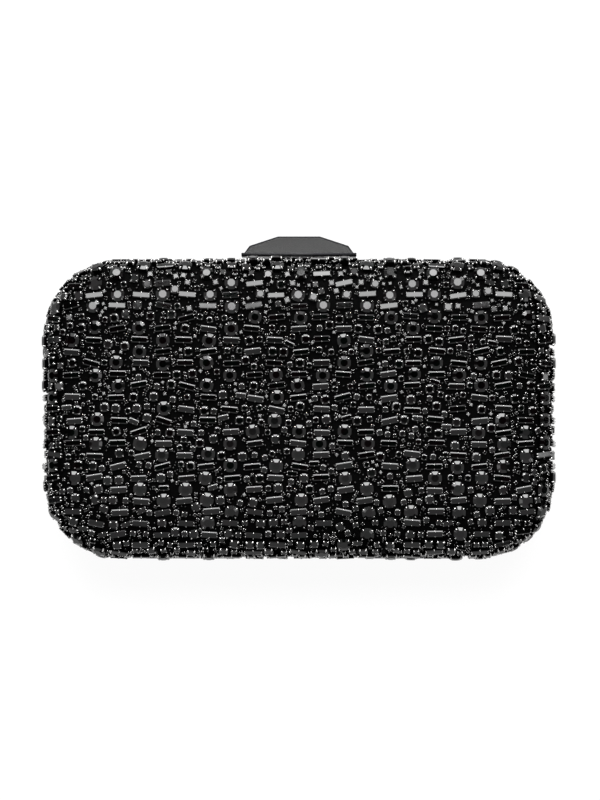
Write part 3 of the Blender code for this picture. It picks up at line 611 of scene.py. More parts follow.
@dataclass(frozen=True)
class StoneKind:
    """One kind of stone with its claw setting.

    Attributes:
        name: Its name.
        cut: Its cut.
        radius: The girdle's radius, or half the width of a bar.
        table: The same of the flat top.
        girdle_rise: The girdle's height above the cloth.
        table_rise: The flat top's height above the cloth.
        claw: The width of a claw.
        spacing: The radius that it keeps free.
        sides: The sides of its flat top.
        half_length: Half the length of a bar.
        turn: How far it turns from the row, in degrees.
        tilt: How far it may lean, in degrees.
        count: How many are set at most, for a kind that fills the room between the columns.
    """

    name: str
    cut: Cut
    radius: float
    table: float
    girdle_rise: float
    table_rise: float
    claw: float
    spacing: float
    sides: int = 8
    half_length: float = 0.0
    turn: float = 6.0
    tilt: float = 1.0
    count: int = 0

    @property
    def offsets(self) -> list[float]:
        """Where the discs that keep it free lie along it."""
        run = max(0.0, self.half_length - self.radius)
        return [run * share for share in (-1.0, -0.5, 0.0, 0.5, 1.0)] if run else [0.0]

    def crown_rise(self, inward: float) -> float:
        """The crown's height at a distance in from the girdle."""
        share = min(1.0, inward / (self.radius - self.table))
        return self.girdle_rise + share * (self.table_rise - self.girdle_rise)

    def circle(self, radius: float, rise: float, sides: int, shift: float = 0.0) -> list[tuple]:
        """A circle of points about the stone's axis."""
        turn = [math.tau * (i + shift) / sides for i in range(sides)]
        return [(radius * math.cos(a), radius * math.sin(a), rise) for a in turn]

    def oblong(self, half_length: float, half_width: float, rise: float, corner: float) -> list[tuple]:
        """An oblong of points with cut corners."""
        a, b = half_length - corner, half_width - corner
        quarter = ((half_length, b), (a, half_width))
        signs = ((1, 1), (-1, 1), (-1, -1), (1, -1))
        points = []
        for number, (x_sign, y_sign) in enumerate(signs):
            pair = quarter if number % 2 == 0 else quarter[::-1]
            points += [(x_sign * x, y_sign * y, rise) for x, y in pair]
        return points

    def gem(self) -> bpy.types.Mesh:
        """The stone itself, standing on its setting's axis."""
        makers = {Cut.ROUND: self._round_gem, Cut.BAR: self._bar_gem, Cut.BEAD: self._bead}
        shape = Shape()
        makers[self.cut](shape)
        return shape.mesh(f"{self.name}_gem", 50.0 if self.cut is Cut.BEAD else None)

    def _round_gem(self, shape: Shape) -> None:
        """A crown of wide sloping facets with slim ones between them, round a flat top."""
        wide = 0.39
        turns = [math.tau * (i + side * wide) / self.sides for i in range(self.sides) for side in (-1, 1)]
        foot = shape.loop(self.circle(0.8 * self.radius, 0.5 * self.girdle_rise, 2 * self.sides, 0.5))
        girdle = shape.loop(
            (self.radius * math.cos(a), self.radius * math.sin(a), self.girdle_rise) for a in turns
        )
        table = shape.loop(self.circle(self.table, self.table_rise, self.sides, 0.5))
        for i in range(self.sides):
            left, right, following = girdle[2 * i], girdle[2 * i + 1], girdle[(2 * i + 2) % len(girdle)]
            shape.faces.append((left, right, table[i], table[i - 1]))
            shape.faces.append((right, following, table[i]))
        shape.faces.append(tuple(table))
        shape.faces.append(tuple(foot))
        shape.bridge(foot[-1:] + foot[:-1], girdle)

    def _bar_gem(self, shape: Shape) -> None:
        """A step-cut bar."""
        bevel = self.radius - self.table
        under = 0.30 * self.radius
        corner = 0.16 * self.radius
        foot = self.oblong(self.half_length - under, self.radius - under, self.girdle_rise * 0.4, corner)
        girdle = self.oblong(self.half_length, self.radius, self.girdle_rise, corner)
        table = self.oblong(self.half_length - 0.25 * bevel, self.table, self.table_rise, corner)
        shape.stack([shape.loop(points) for points in (foot, girdle, table)])

    def _bead(self, shape: Shape) -> None:
        """A round seed bead."""
        middle = self.table_rise - self.radius
        turns = [math.radians(degrees) for degrees in (-50.0, 0.0, 38.0, 68.0)]
        rings = [(self.radius * math.cos(turn), middle + self.radius * math.sin(turn)) for turn in turns]
        shape.stack([shape.loop(self.circle(radius, rise, self.sides)) for radius, rise in rings])

    def setting(self) -> Optional[bpy.types.Mesh]:
        """The cup and claws that hold the stone, or None for a bead."""
        if self.cut is Cut.BEAD:
            return None
        shape = Shape()
        rim = self.girdle_rise - 0.1 * MM
        if self.cut is Cut.BAR:
            base = ((0.6, -0.5 * MM), (0.92, rim))
            corner = 0.3 * self.radius
            cup = [self.oblong(self.half_length * s, self.radius * s, z, corner) for s, z in base]
            feet = [(0.0, side * self.radius, 0.0, side) for side in (-1, 1)]
            ends = [(sx, sy) for sx in (-1, 1) for sy in (-1, 1)]
            feet += [(sx * self.half_length, sy * 0.45 * self.radius, sx, 0.0) for sx, sy in ends]
        else:
            base = ((0.66, -0.5 * MM), (0.94, rim))
            cup = [self.circle(self.radius * s, z, 8) for s, z in base]
            ways = [math.radians(45.0 + 90.0 * i) for i in range(4)]
            ways = [(math.cos(a), math.sin(a)) for a in ways]
            feet = [(self.radius * x, self.radius * y, x, y) for x, y in ways]
        shape.stack([shape.loop(points) for points in cup])
        for x, y, out_x, out_y in feet:
            self._claw(shape, Vector((x, y, 0.0)), Vector((out_x, out_y, 0.0)))
        return shape.mesh(f"{self.name}_setting", 80.0)

    def _claw(self, shape: Shape, foot: Vector, outward: Vector) -> None:
        """A rounded claw from the cup's side over the girdle onto the crown.

        Args:
            shape: What it is added to.
            foot: Where it stands on the girdle's circle.
            outward: Which way is outward there.
        """
        width = self.claw
        lift = (self.crown_rise(0.55 * width) - self.girdle_rise) / width
        # The last value of each ring is its share of the light claw colour: wear and a painted highlight on
        # the bend and tip.
        path = ((0.12, -1.1, 0.85, 0.0), (0.10, 0.22, 1.0, 1.0), (-0.62, lift + 0.22, 0.70, 1.0))
        section = ((-0.5, -0.22), (0.5, -0.22), (0.4, 0.16), (0.0, 0.36), (-0.4, 0.16))
        sideways = Vector((-outward.y, outward.x, 0.0))
        rise = Vector((0.0, 0.0, 1.0))
        squares = (outward, (outward + rise * 1.6).normalized(), (rise * 1.6 - outward * 0.2).normalized())
        loops = []
        for (out, up, share, worn), square in zip(path, squares):
            centre = foot + outward * out * width + rise * (self.girdle_rise + up * width)
            ring = [centre + (sideways * a + square * b) * width * share for a, b in section]
            loops.append(shape.loop(ring, worn))
        shape.stack(loops)


def stone_kind(
    name: str, cut: Cut, sizes: Sequence[float], half_length: float = 0.0, **more: float
) -> StoneKind:
    """A kind of stone.

    Args:
        name: Its name.
        cut: Its cut.
        sizes: Its radius, table, girdle_rise, table_rise, claw and spacing in millimetres.
        half_length: Half the length of a bar in millimetres.
        more: Its sides, turn, tilt and count, where they are given.

    Returns:
        The kind, in metres.
    """
    return StoneKind(name, cut, *(size * MM for size in sizes), half_length=half_length * MM, **more)


LARGE = stone_kind("large", Cut.ROUND, (2.6, 1.44, 1.83, 2.48, 0.64, 2.9), turn=5.0)
BAR = stone_kind("bar", Cut.BAR, (1.15, 0.80, 1.71, 1.9, 0.46, 1.3), 3.1, tilt=2.6)
MEDIUM = (1.78, 1.20, 1.63, 1.95, 0.66, 2.06)
SMALL = (1.24, 0.84, 1.36, 1.58, 0.50, 1.46)
SHORT_BAR = (1.0, 0.66, 1.46, 1.64, 0.42, 1.12)
CHIP = (0.72, 0.48, 1.00, 1.13, 0.34, 0.84)
SEED = (0.5, 0.0, 0.0, 0.9, 0.0, 0.55)
KINDS = (
    stone_kind("medium", Cut.ROUND, MEDIUM, turn=9.0, tilt=1.8, count=200),
    stone_kind("small", Cut.ROUND, SMALL, turn=9.0, tilt=3.5, count=420),
    stone_kind("short_bar", Cut.BAR, SHORT_BAR, 1.9, turn=14.0, tilt=5.0, count=50),
    stone_kind("chip", Cut.ROUND, CHIP, sides=6, turn=40.0, tilt=9.0, count=1000),
    stone_kind("seed", Cut.BEAD, SEED, turn=180.0, tilt=20.0, count=1300),
)


@dataclass(frozen=True)
class FrontSurface:
    """The front's outermost surface: a crowned face that rounds over into a wall.

    A place on it is given on the unrolled front, u along X and v along Y from the middle of the face.
    """

    layer: float = 3.2 * MM
    corner: float = CORNER
    edge: float = EDGE
    crown: float = CROWN
    plateau: float = PLATEAU
    rim: float = field(default_factory=lambda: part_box("front_stone_cover")[0].z)
    shell: Vector = field(default_factory=lambda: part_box("front_shell")[1])

    @property
    def half_width(self) -> float:
        """Half the width over the stones."""
        return self.shell.x + self.layer

    @property
    def half_height(self) -> float:
        """Half the height over the stones."""
        return self.shell.y + self.layer

    @property
    def arc(self) -> float:
        """The length of the rounding from the face to the wall."""
        return self.edge * QUARTER

    @property
    def fold(self) -> float:
        """The height where the rounding meets the wall."""
        return self.shell.z + self.layer - self.crown - self.edge

    @property
    def reach(self) -> float:
        """How far the unrolled front runs from the face's edge to the rim."""
        return self.arc + self.fold - self.rim

    @property
    def half_sheet(self) -> tuple[float, float]:
        """Half the unrolled front's sides."""
        return (self.half_width - self.edge + self.reach, self.half_height - self.edge + self.reach)

    def beyond(self, u: float, v: float) -> tuple[float, Vector]:
        """How far a place lies beyond the face's edge, and which way is outward there."""
        past_x = abs(u) - (self.half_width - self.corner)
        past_y = abs(v) - (self.half_height - self.corner)
        if past_x > 0 and past_y > 0:
            far = math.hypot(past_x, past_y)
            outward = Vector((math.copysign(past_x, u), math.copysign(past_y, v), 0.0)) / far
        elif past_x > past_y:
            far, outward = past_x, Vector((math.copysign(1.0, u), 0.0, 0.0))
        else:
            far, outward = past_y, Vector((0.0, math.copysign(1.0, v), 0.0))
        return far - (self.corner - self.edge), outward

    def place(self, u: float, v: float) -> Matrix:
        """The matrix of a place, with Z square to the surface and outwards."""
        past, outward = self.beyond(u, v)
        up = Vector((0.0, 0.0, 1.0))
        span = self.plateau - self.edge
        if past <= 0:
            rise = QUARTER * min(1.0, -past / span)
            lean = math.atan(self.crown * QUARTER / span * math.cos(rise))
            point = Vector((u, v, self.fold + self.edge + self.crown * math.sin(rise)))
        else:
            lean = min(past, self.arc) / self.edge
            height = self.fold + self.edge * math.cos(lean) - max(0.0, past - self.arc)
            point = Vector((u, v, 0.0)) - outward * past
            point += outward * self.edge * math.sin(lean) + up * height
        normal = outward * math.sin(lean) + up * math.cos(lean)
        down = outward * math.cos(lean) - up * math.sin(lean)
        side = Vector((-outward.y, outward.x, 0.0))
        right = (down * outward.x - side * outward.y).normalized()
        turned = Matrix((right, normal.cross(right), normal)).transposed().to_4x4()
        turned.translation = point
        return turned


@dataclass
class StoneLayout:
    """Sets stones over the front without letting them touch.

    The large stones and the bars stand in staggered columns, most of them where the front's solid has them.
    A bar that finds no room is tried once more after the others, a little closer to its neighbours.

    Attributes:
        surface: What they stand on.
        column_pitch: The distance from column to column.
        row_pitch: The distance from one large stone to the next along a column.
        scatter: How far a stone strays from its column.
        large_share: The share of the columns' places that get a large stone.
        bar_share: The same for the bars between them.
        bar_turn: How far a bar turns from the row.
        level: How far under the surface the stones are kept apart.
        slack: How far a crowded bar may run into its neighbours.
        filler_slack: The share of that which the smaller stones may.
        row: The distance of the rows that the smaller stones lie in.
        row_scatter: How far they stray from it, as its share.
        row_least: The spacing over which a stone keeps to the rows.
        tries: How often a place is sought for each smaller kind.
        seed: The seed of the layout.
        cell: The side of the grid that neighbours are looked up in.
        taken: The discs that are kept free, by their cells.
    """

    surface: FrontSurface
    column_pitch: float = 8.3 * MM
    row_pitch: float = 8.4 * MM
    scatter: float = 0.42 * MM
    large_share: float = 0.42
    bar_share: float = 0.94
    bar_turn: float = math.radians(7.0)
    level: float = 1.6 * MM
    slack: float = 0.35 * MM
    filler_slack: float = 0.6
    row: float = 4.2 * MM
    row_scatter: float = 0.2
    row_least: float = 1.0 * MM
    tries: int = 30000
    seed: int = 11
    cell: float = 6.0 * MM
    taken: dict = field(default_factory=dict)

    def _key(self, point: Vector) -> tuple[int, ...]:
        """The grid cell that a point lies in."""
        return tuple(math.floor(part / self.cell) for part in point)

    def _take(self, kind: StoneKind, place: Matrix, slack: float = 0.0) -> bool:
        """Keeps a stone's discs free.

        Args:
            kind: The stone's kind.
            place: Where it would stand.
            slack: How far its discs may run into those of another stone.

        Returns:
            False if another stone is there.
        """
        centres = [place @ Vector((offset, 0.0, -self.level)) for offset in kind.offsets]
        steps = (-1, 0, 1)
        for centre in centres:
            x, y, z = self._key(centre)
            for key in ((x + i, y + j, z + k) for i in steps for j in steps for k in steps):
                for other, size in self.taken.get(key, ()):
                    if (centre - other).length < kind.spacing + size - slack:
                        return False
        for centre in centres:
            self.taken.setdefault(self._key(centre), []).append((centre, kind.spacing))
        return True

    def columns(self) -> dict[str, list[Matrix]]:
        """The places of the large stones and of the bars."""
        chance = random.Random(self.seed)
        half_u, half_v = self.surface.half_sheet
        columns = math.ceil(half_u / self.column_pitch)
        rows = math.ceil(half_v / self.row_pitch)
        found: dict[str, list[Matrix]] = {LARGE.name: [], BAR.name: []}
        crowded: list[Matrix] = []
        kinds = ((LARGE, self.large_share, 0.0), (BAR, self.bar_share, self.bar_turn))
        for level, (kind, share, turn) in enumerate(kinds):
            limit = self.surface.reach - kind.spacing
            for i in range(-columns, columns + 1):
                for j in range(-rows, rows + 1):
                    u = self.column_pitch * i + chance.gauss(0.0, self.scatter)
                    v = self.row_pitch * (j + (i % 2 + level) / 2) + chance.gauss(0.0, self.scatter / 2)
                    angle = chance.gauss(0.0, turn)
                    if chance.random() > share or self.surface.beyond(u, v)[0] > limit:
                        continue
                    place = self.surface.place(u, v) @ Matrix.Rotation(angle, 4, "Z")
                    if self._take(kind, place):
                        found[kind.name].append(place)
                    elif kind is BAR:
                        crowded.append(place)
        found[BAR.name] += [place for place in crowded if self._take(BAR, place, self.slack)]
        return found

    def lay(self, kinds: Sequence[StoneKind]) -> dict[str, list[Matrix]]:
        """Sets the columns, and then every other kind in turn where there is room.

        Args:
            kinds: The other kinds of stone, the largest first.

        Returns:
            The places of each kind, by its name.
        """
        places = self.columns()
        chance = random.Random(self.seed + 1)
        half_u, half_v = self.surface.half_sheet
        for kind in kinds:
            found: list[Matrix] = []
            for _ in range(self.tries):
                if len(found) == kind.count:
                    break
                u = chance.uniform(-half_u, half_u)
                v = chance.uniform(-half_v, half_v)
                if kind.spacing > self.row_least:
                    v = round(v / self.row) * self.row + chance.gauss(0.0, self.row_scatter) * self.row
                if self.surface.beyond(u, v)[0] > self.surface.reach - kind.spacing:
                    continue
                turn = Matrix.Rotation(chance.gauss(0.0, math.radians(kind.turn)), 4, "Z")
                place = self.surface.place(u, v) @ turn
                if self._take(kind, place, self.slack * self.filler_slack):
                    found.append(place)
            places[kind.name] = found
        for name, found in places.items():
            LOG.info("%s: %d set", name, len(found))
        return places


@dataclass
class StoneSetter:
    """Geometry Nodes that set one shape on every place, each a little tilted."""

    spread: float = 0.05
    seed: int = 5

    def __post_init__(self) -> None:
        """Builds the tree once."""
        tree = bpy.data.node_groups.new("Set stones", "GeometryNodeTree")
        net = Network(tree)
        inputs = (
            ("Places", "Geometry"),
            ("Stone", "Object"),
            ("Finish", "Material"),
            ("Tilt", "Float"),
            ("Size spread", "Float"),
            ("Seed", "Int"),
        )
        for name, kind in inputs:
            tree.interface.new_socket(name, in_out="INPUT", socket_type=f"NodeSocket{kind}")
        tree.interface.new_socket("Stones", in_out="OUTPUT", socket_type="NodeSocketGeometry")
        given = tree.nodes.new("NodeGroupInput")
        take = {name: Link(net, given.outputs[name]) for name, _ in inputs}
        turn = net.node("GeometryNodeInputNamedAttribute", {"data_type": "FLOAT_VECTOR"}, {"Name": "turn"})
        turned = net.node("FunctionNodeEulerToRotation", {}, {0: turn})
        low = net.node("ShaderNodeCombineXYZ", {}, {0: take["Tilt"] * -1.0, 1: take["Tilt"] * -1.0})
        high = net.node("ShaderNodeCombineXYZ", {}, {0: take["Tilt"], 1: take["Tilt"]})
        lean = net.node(
            "FunctionNodeRandomValue", {"data_type": "FLOAT_VECTOR"}, {0: low, 1: high, "Seed": take["Seed"]}
        )
        leaning = net.node("FunctionNodeEulerToRotation", {}, {0: lean})
        whole = net.node("FunctionNodeRotateRotation", {"rotation_space": "LOCAL"}, {0: turned, 1: leaning})
        size = net.node(
            "FunctionNodeRandomValue",
            {"data_type": "FLOAT"},
            {2: 1.0 - take["Size spread"], 3: 1.0 + take["Size spread"] * 0.4, "Seed": take["Seed"] + 1.0},
            1,
        )
        stone = net.node("GeometryNodeObjectInfo", {}, {"Object": take["Stone"]}, "Geometry")
        placed = net.node(
            "GeometryNodeInstanceOnPoints",
            {},
            {"Points": take["Places"], "Instance": stone, "Rotation": whole, "Scale": size},
        )
        real = net.node("GeometryNodeRealizeInstances", {}, {0: placed})
        dressed = net.node("GeometryNodeSetMaterial", {}, {"Geometry": real, "Material": take["Finish"]})
        net.node("NodeGroupOutput", {}, {0: dressed})
        self.tree = tree

    def run(
        self,
        name: str,
        places: Sequence[Matrix],
        template: bpy.types.Mesh,
        finish: Finish,
        tilt: float,
    ) -> bpy.types.Mesh:
        """Sets a template on every place.

        Args:
            name: The name of the mesh that is made.
            places: Where the copies stand.
            template: What is copied.
            finish: Its finish.
            tilt: How far a copy may lean, in degrees.

        Returns:
            One plain mesh of all the copies.
        """
        points = bpy.data.meshes.new(f"{name}_places")
        points.from_pydata([place.translation for place in places], [], [])
        turns = points.attributes.new("turn", "FLOAT_VECTOR", "POINT")
        for item, place in zip(turns.data, places):
            item.vector = place.to_euler()
        carrier = new_object(f"{name}_places", points)
        stone = new_object(f"{name}_template", template)
        modifier = carrier.modifiers.new("Set stones", "NODES")
        modifier.node_group = self.tree
        given = {
            "Stone": stone,
            "Finish": finish.material(),
            "Tilt": math.radians(tilt),
            "Size spread": self.spread,
            "Seed": self.seed,
        }
        for item in self.tree.interface.items_tree:
            if item.in_out == "INPUT" and item.name in given:
                modifier[item.identifier] = given[item.name]
        mesh = baked(carrier)
        for done in (carrier, stone):
            bpy.data.objects.remove(done)
        return mesh


# Cloth over the halves


@dataclass(frozen=True)
class Outline:
    """The clutch's rounded outline, moved inwards by an inset."""

    half_width: float = 95.0 * MM
    half_height: float = 56.0 * MM
    corner: float = CORNER
    corner_steps: int = 16
    long_steps: int = 34
    short_steps: int = 14

    def middle(self, point: Vector) -> Vector:
        """The place on the outline's middle line that lies nearest to a point."""
        end = self.half_width - self.half_height
        return Vector((max(-end, min(end, point.x)), 0.0, 0.0))

    def ring(self, inset: float) -> list[tuple[Vector, Vector]]:
        """Points along the outline, each with its outward direction."""
        middle = Vector((self.half_width - self.corner, self.half_height - self.corner, 0.0))
        signs = ((1, 1), (-1, 1), (-1, -1), (1, -1))
        points = []
        for number, (x_sign, y_sign) in enumerate(signs):
            centre = Vector((x_sign * middle.x, y_sign * middle.y, 0.0))
            for step in range(self.corner_steps + 1):
                angle = QUARTER * (number + step / self.corner_steps)
                outward = Vector((math.cos(angle), math.sin(angle), 0.0))
                points.append((centre + outward * (self.corner - inset), outward))
            steps = self.long_steps if number % 2 == 0 else self.short_steps
            x_next, y_next = signs[(number + 1) % 4]
            far = Vector((x_next * middle.x, y_next * middle.y, 0.0))
            for step in range(1, steps):
                along = centre.lerp(far, step / steps)
                points.append((along + outward * (self.corner - inset), outward))
        return points


@dataclass
class Dish:
    """A dish of cloth over or inside one half, from its rim to the middle of its face.

    Attributes:
        name: The piece's name.
        inset: How far its wall lies inside the outline.
        rim: The rim's depth from the parting plane.
        face: The face's depth from the parting plane.
        side: +1 for the front half and -1 for the rear one.
        crown: How much the face rises to its middle.
        pucker: How deep the gathers are at the corners.
        gathers: The number of gathers round the outline.
        ripple: How deep the broad ripples of the face are.
        thickness: The cloth's thickness, into the half if positive.
        parting: The height of the parting plane.
        edge: The radius of the rounding from the wall to the face, at the outline.
        plateau: How far inside the outline the face stops rising.
        hem: How far the cloth turns in at the rim.
        fade: Over what width beyond the face's edge the gathers grow.
        broad: The size of the ripples.
        steps: The rings of the wall, the rounding, the face's rise and its middle.
        outline: The clutch's outline.
    """

    name: str
    inset: float
    rim: float
    face: float
    side: int
    crown: float = 0.0
    pucker: float = 0.0
    gathers: int = 150
    ripple: float = 0.0
    thickness: float = 0.4 * MM
    parting: float = 25.0 * MM
    edge: float = EDGE
    plateau: float = PLATEAU
    hem: float = 0.5 * MM
    fade: float = 6.0 * MM
    broad: float = 11.0 * MM
    steps: tuple = (8, 14, 10, 12)
    outline: Outline = field(default_factory=Outline)

    def profile(self) -> list[tuple[float, float, float]]:
        """Inset, depth and flat distance beyond the face's edge of each ring, from the rim inwards."""
        radius = self.edge - self.inset
        arc = radius * math.pi / 2
        rows = []
        wall = self.face - radius - self.rim
        wall_steps, arc_steps, face_steps, _ = self.steps
        rows.append((self.inset + self.hem, self.rim + 0.1 * self.hem, arc + wall))
        rows.append((self.inset + 0.3 * self.hem, self.rim + 0.12 * self.hem, arc + wall - 0.3 * self.hem))
        for step in range(wall_steps + 1):
            share = step / wall_steps
            depth = self.rim + self.hem * 0.6 + share * (wall - self.hem * 0.6)
            rows.append((self.inset, depth, arc + wall - (depth - self.rim)))
        for step in range(1, arc_steps + 1):
            angle = QUARTER * step / arc_steps
            rows.append(
                (
                    self.edge - radius * math.cos(angle),
                    self.face - radius + radius * math.sin(angle),
                    arc - radius * angle,
                )
            )
        for step in range(1, face_steps + 1):
            share = step / face_steps
            inset = self.edge + share * (self.plateau - self.edge)
            height = self.face + self.crown * math.sin(QUARTER * share)
            rows.append((inset, height, self.edge - inset))
        return rows

    def _rippled(self, place: Vector) -> float:
        """How far broad, slanting ripples sink the cloth at a place of the flat cut."""
        x, y = (part / self.broad for part in place[:2])
        slant = 0.5 if x * y > 0 else -0.5
        broad = noise.noise(Vector((0.45 * x, 0.45 * y, 2.0)))
        drawn = noise.noise(Vector((0.3 * (x + slant * y), 1.1 * (y - slant * x), 7.0)))
        return self.ripple * (1.0 + 0.9 * broad + 0.7 * drawn)

    def mesh(self) -> bpy.types.Mesh:
        """The cloth's mesh, with its flat coordinates."""
        shape = Shape()
        flat: list[tuple[float, float]] = []
        loops = []
        base = self.outline.ring(self.edge)
        for inset, depth, beyond in self.profile():
            lean = max(0.0, min(1.0, beyond / (self.edge * math.pi / 2)))
            points = []
            for number, ((point, outward), (foot, _)) in enumerate(zip(self.outline.ring(inset), base)):
                laid = foot + outward * beyond
                corner = 1.0 - abs(abs(outward.x) - abs(outward.y))
                fade = max(0.0, min(1.0, beyond / self.fade)) * corner
                turn = math.tau * self.gathers * number / len(base)
                push = self.pucker * fade * (math.sin(turn) + 0.5 * math.sin(0.61 * turn + 1.0))
                sunk = self._rippled(laid) if self.ripple else 0.0
                spot = point + outward * (push - sunk * lean)
                points.append((spot.x, spot.y, self.parting + self.side * (depth - sunk * (1.0 - lean))))
                flat.append((laid.x, laid.y))
            loops.append(shape.loop(points))
        top = self.face + self.crown
        for step in range(1, self.steps[3] + 1):
            points = []
            for point, _ in self.outline.ring(self.plateau):
                spot = point.lerp(self.outline.middle(point), 0.95 * step / self.steps[3])
                sunk = self._rippled(spot) if self.ripple else 0.0
                points.append((spot.x, spot.y, self.parting + self.side * (top - sunk)))
                flat.append((spot.x, spot.y))
            loops.append(shape.loop(points))
        for lower, upper in zip(loops, loops[1:]):
            shape.bridge(lower, upper)
        shape.faces.append(tuple(loops[-1]))
        mesh = shape.mesh(self.name, 60.0, lambda number: flat[number])
        return thicken(mesh, self.thickness, self.side)

    @property
    def flat_size(self) -> tuple[float, float]:
        """The sides of the flat cut."""
        beyond = self.profile()[0][2]
        half = self.edge - beyond
        return (2 * (self.outline.half_width - half), 2 * (self.outline.half_height - half))


def thicken(mesh: bpy.types.Mesh, thickness: float, side: int) -> bpy.types.Mesh:
    """Gives an open sheet its thickness.

    Args:
        mesh: The sheet.
        thickness: The thickness, laid on the side that faces the parting plane.
        side: +1 if the sheet's face looks up, -1 if it looks down.

    Returns:
        The closed mesh.
    """
    face = max(mesh.polygons, key=lambda polygon: polygon.area)
    if face.normal.z * side < 0:
        mesh.flip_normals()
    carrier = new_object("sheet", mesh)
    solid = carrier.modifiers.new("Thickness", "SOLIDIFY")
    solid.thickness = thickness
    solid.offset = -1.0
    solid.use_quality_normals = True
    made = baked(carrier)
    bpy.data.objects.remove(carrier)
    return made


# Sub-assemblies


@dataclass
class FrontCover:
    """The stone-covered front: black satin with stones sewn on."""

    surface: FrontSurface = field(default_factory=FrontSurface)
    cloth: float = 0.3 * MM
    face: float = 23.8 * MM
    stone_rise: float = 2.6 * MM
    seed: int = 3
    clasp_half_length: float = 21.6 * MM
    clasp_lift: float = 0.7 * MM
    clasp_row: float = 1.0 * MM

    def _settled(self, place: Matrix) -> Matrix:
        """A stone's place on the cloth. Beside the clasp the stones stand close up to its setting."""
        settled = place @ Matrix.Translation((0.0, 0.0, -self.stone_rise))
        top = self.surface.half_height
        if abs(place.translation.x) < self.clasp_half_length and place.translation.y > top - self.clasp_row:
            settled.translation.y += self.clasp_lift
        return settled

    def build(self) -> None:
        """Makes the ground cloth and every stone with its setting."""
        face = self.face - self.stone_rise
        ground = Dish(
            "front_ground_satin", self.stone_rise, COVER_RIM, face, side=1, crown=CROWN, thickness=self.cloth
        )
        piece = add_piece("front_ground_satin", ground.mesh(), Finish.GROUND, Body.LID, "front_stone_cover")
        width, length = ground.flat_size
        0.93 * width * length
        setter = StoneSetter()
        chance = random.Random(self.seed)
        layout = StoneLayout(self.surface).lay(KINDS)
        for kind in (LARGE, BAR, *KINDS):
            places = [self._settled(place) for place in layout[kind.name]]
            if kind is LARGE:
                turns = [chance.gauss(0.0, math.radians(kind.turn)) for _ in places]
                places = [place @ Matrix.Rotation(turn, 4, "Z") for place, turn in zip(places, turns)]
            gems = setter.run(f"{kind.name}_stones", places, kind.gem(), Finish.STONES, kind.tilt)
            add_piece(f"{kind.name}_stones", gems, Finish.STONES, Body.LID)
            setting = kind.setting()
            if setting:
                cups = setter.run(f"{kind.name}_settings", places, setting, Finish.CLAWS, kind.tilt)
                add_piece(f"{kind.name}_settings", cups, Finish.CLAWS, Body.LID)


@dataclass
class RearCover:
    """The plain satin back."""

    def build(self) -> None:
        """Makes the satin that is drawn over the rear shell."""
        cloth = Dish(
            "rear_satin",
            inset=1.6 * MM,
            rim=COVER_RIM,
            face=25.0 * MM,
            side=-1,
            pucker=0.4 * MM,
            gathers=90,
            ripple=0.25 * MM,
            thickness=1.0 * MM,
        )
        piece = add_piece("rear_satin", cloth.mesh(), Finish.SATIN, Body.REAR, "rear_satin_cover")
        width, length = cloth.flat_size
        0.93 * width * length


@dataclass
class Linings:
    """The satin linings of both halves."""

    inset: float = 8.1 * MM
    rim: float = 1.5 * MM
    pucker: float = 0.3 * MM
    gathers: int = 84
    ripple: float = 0.4 * MM
    depths: tuple = (("front", 16.9 * MM, 1, CROWN, Body.LID), ("rear", 19.7 * MM, -1, 0.0, Body.REAR))

    def build(self) -> None:
        """Makes a lining for each half."""
        for half, face, side, crown, body in self.depths:
            folds = (self.pucker, self.gathers, self.ripple)
            dish = Dish(f"{half}_lining_satin", self.inset, self.rim, face, side, crown, *folds)
            piece = add_piece(f"{half}_lining_satin", dish.mesh(), Finish.LINING, body, f"{half}_lining")
            width, length = dish.flat_size
            0.9 * width * length


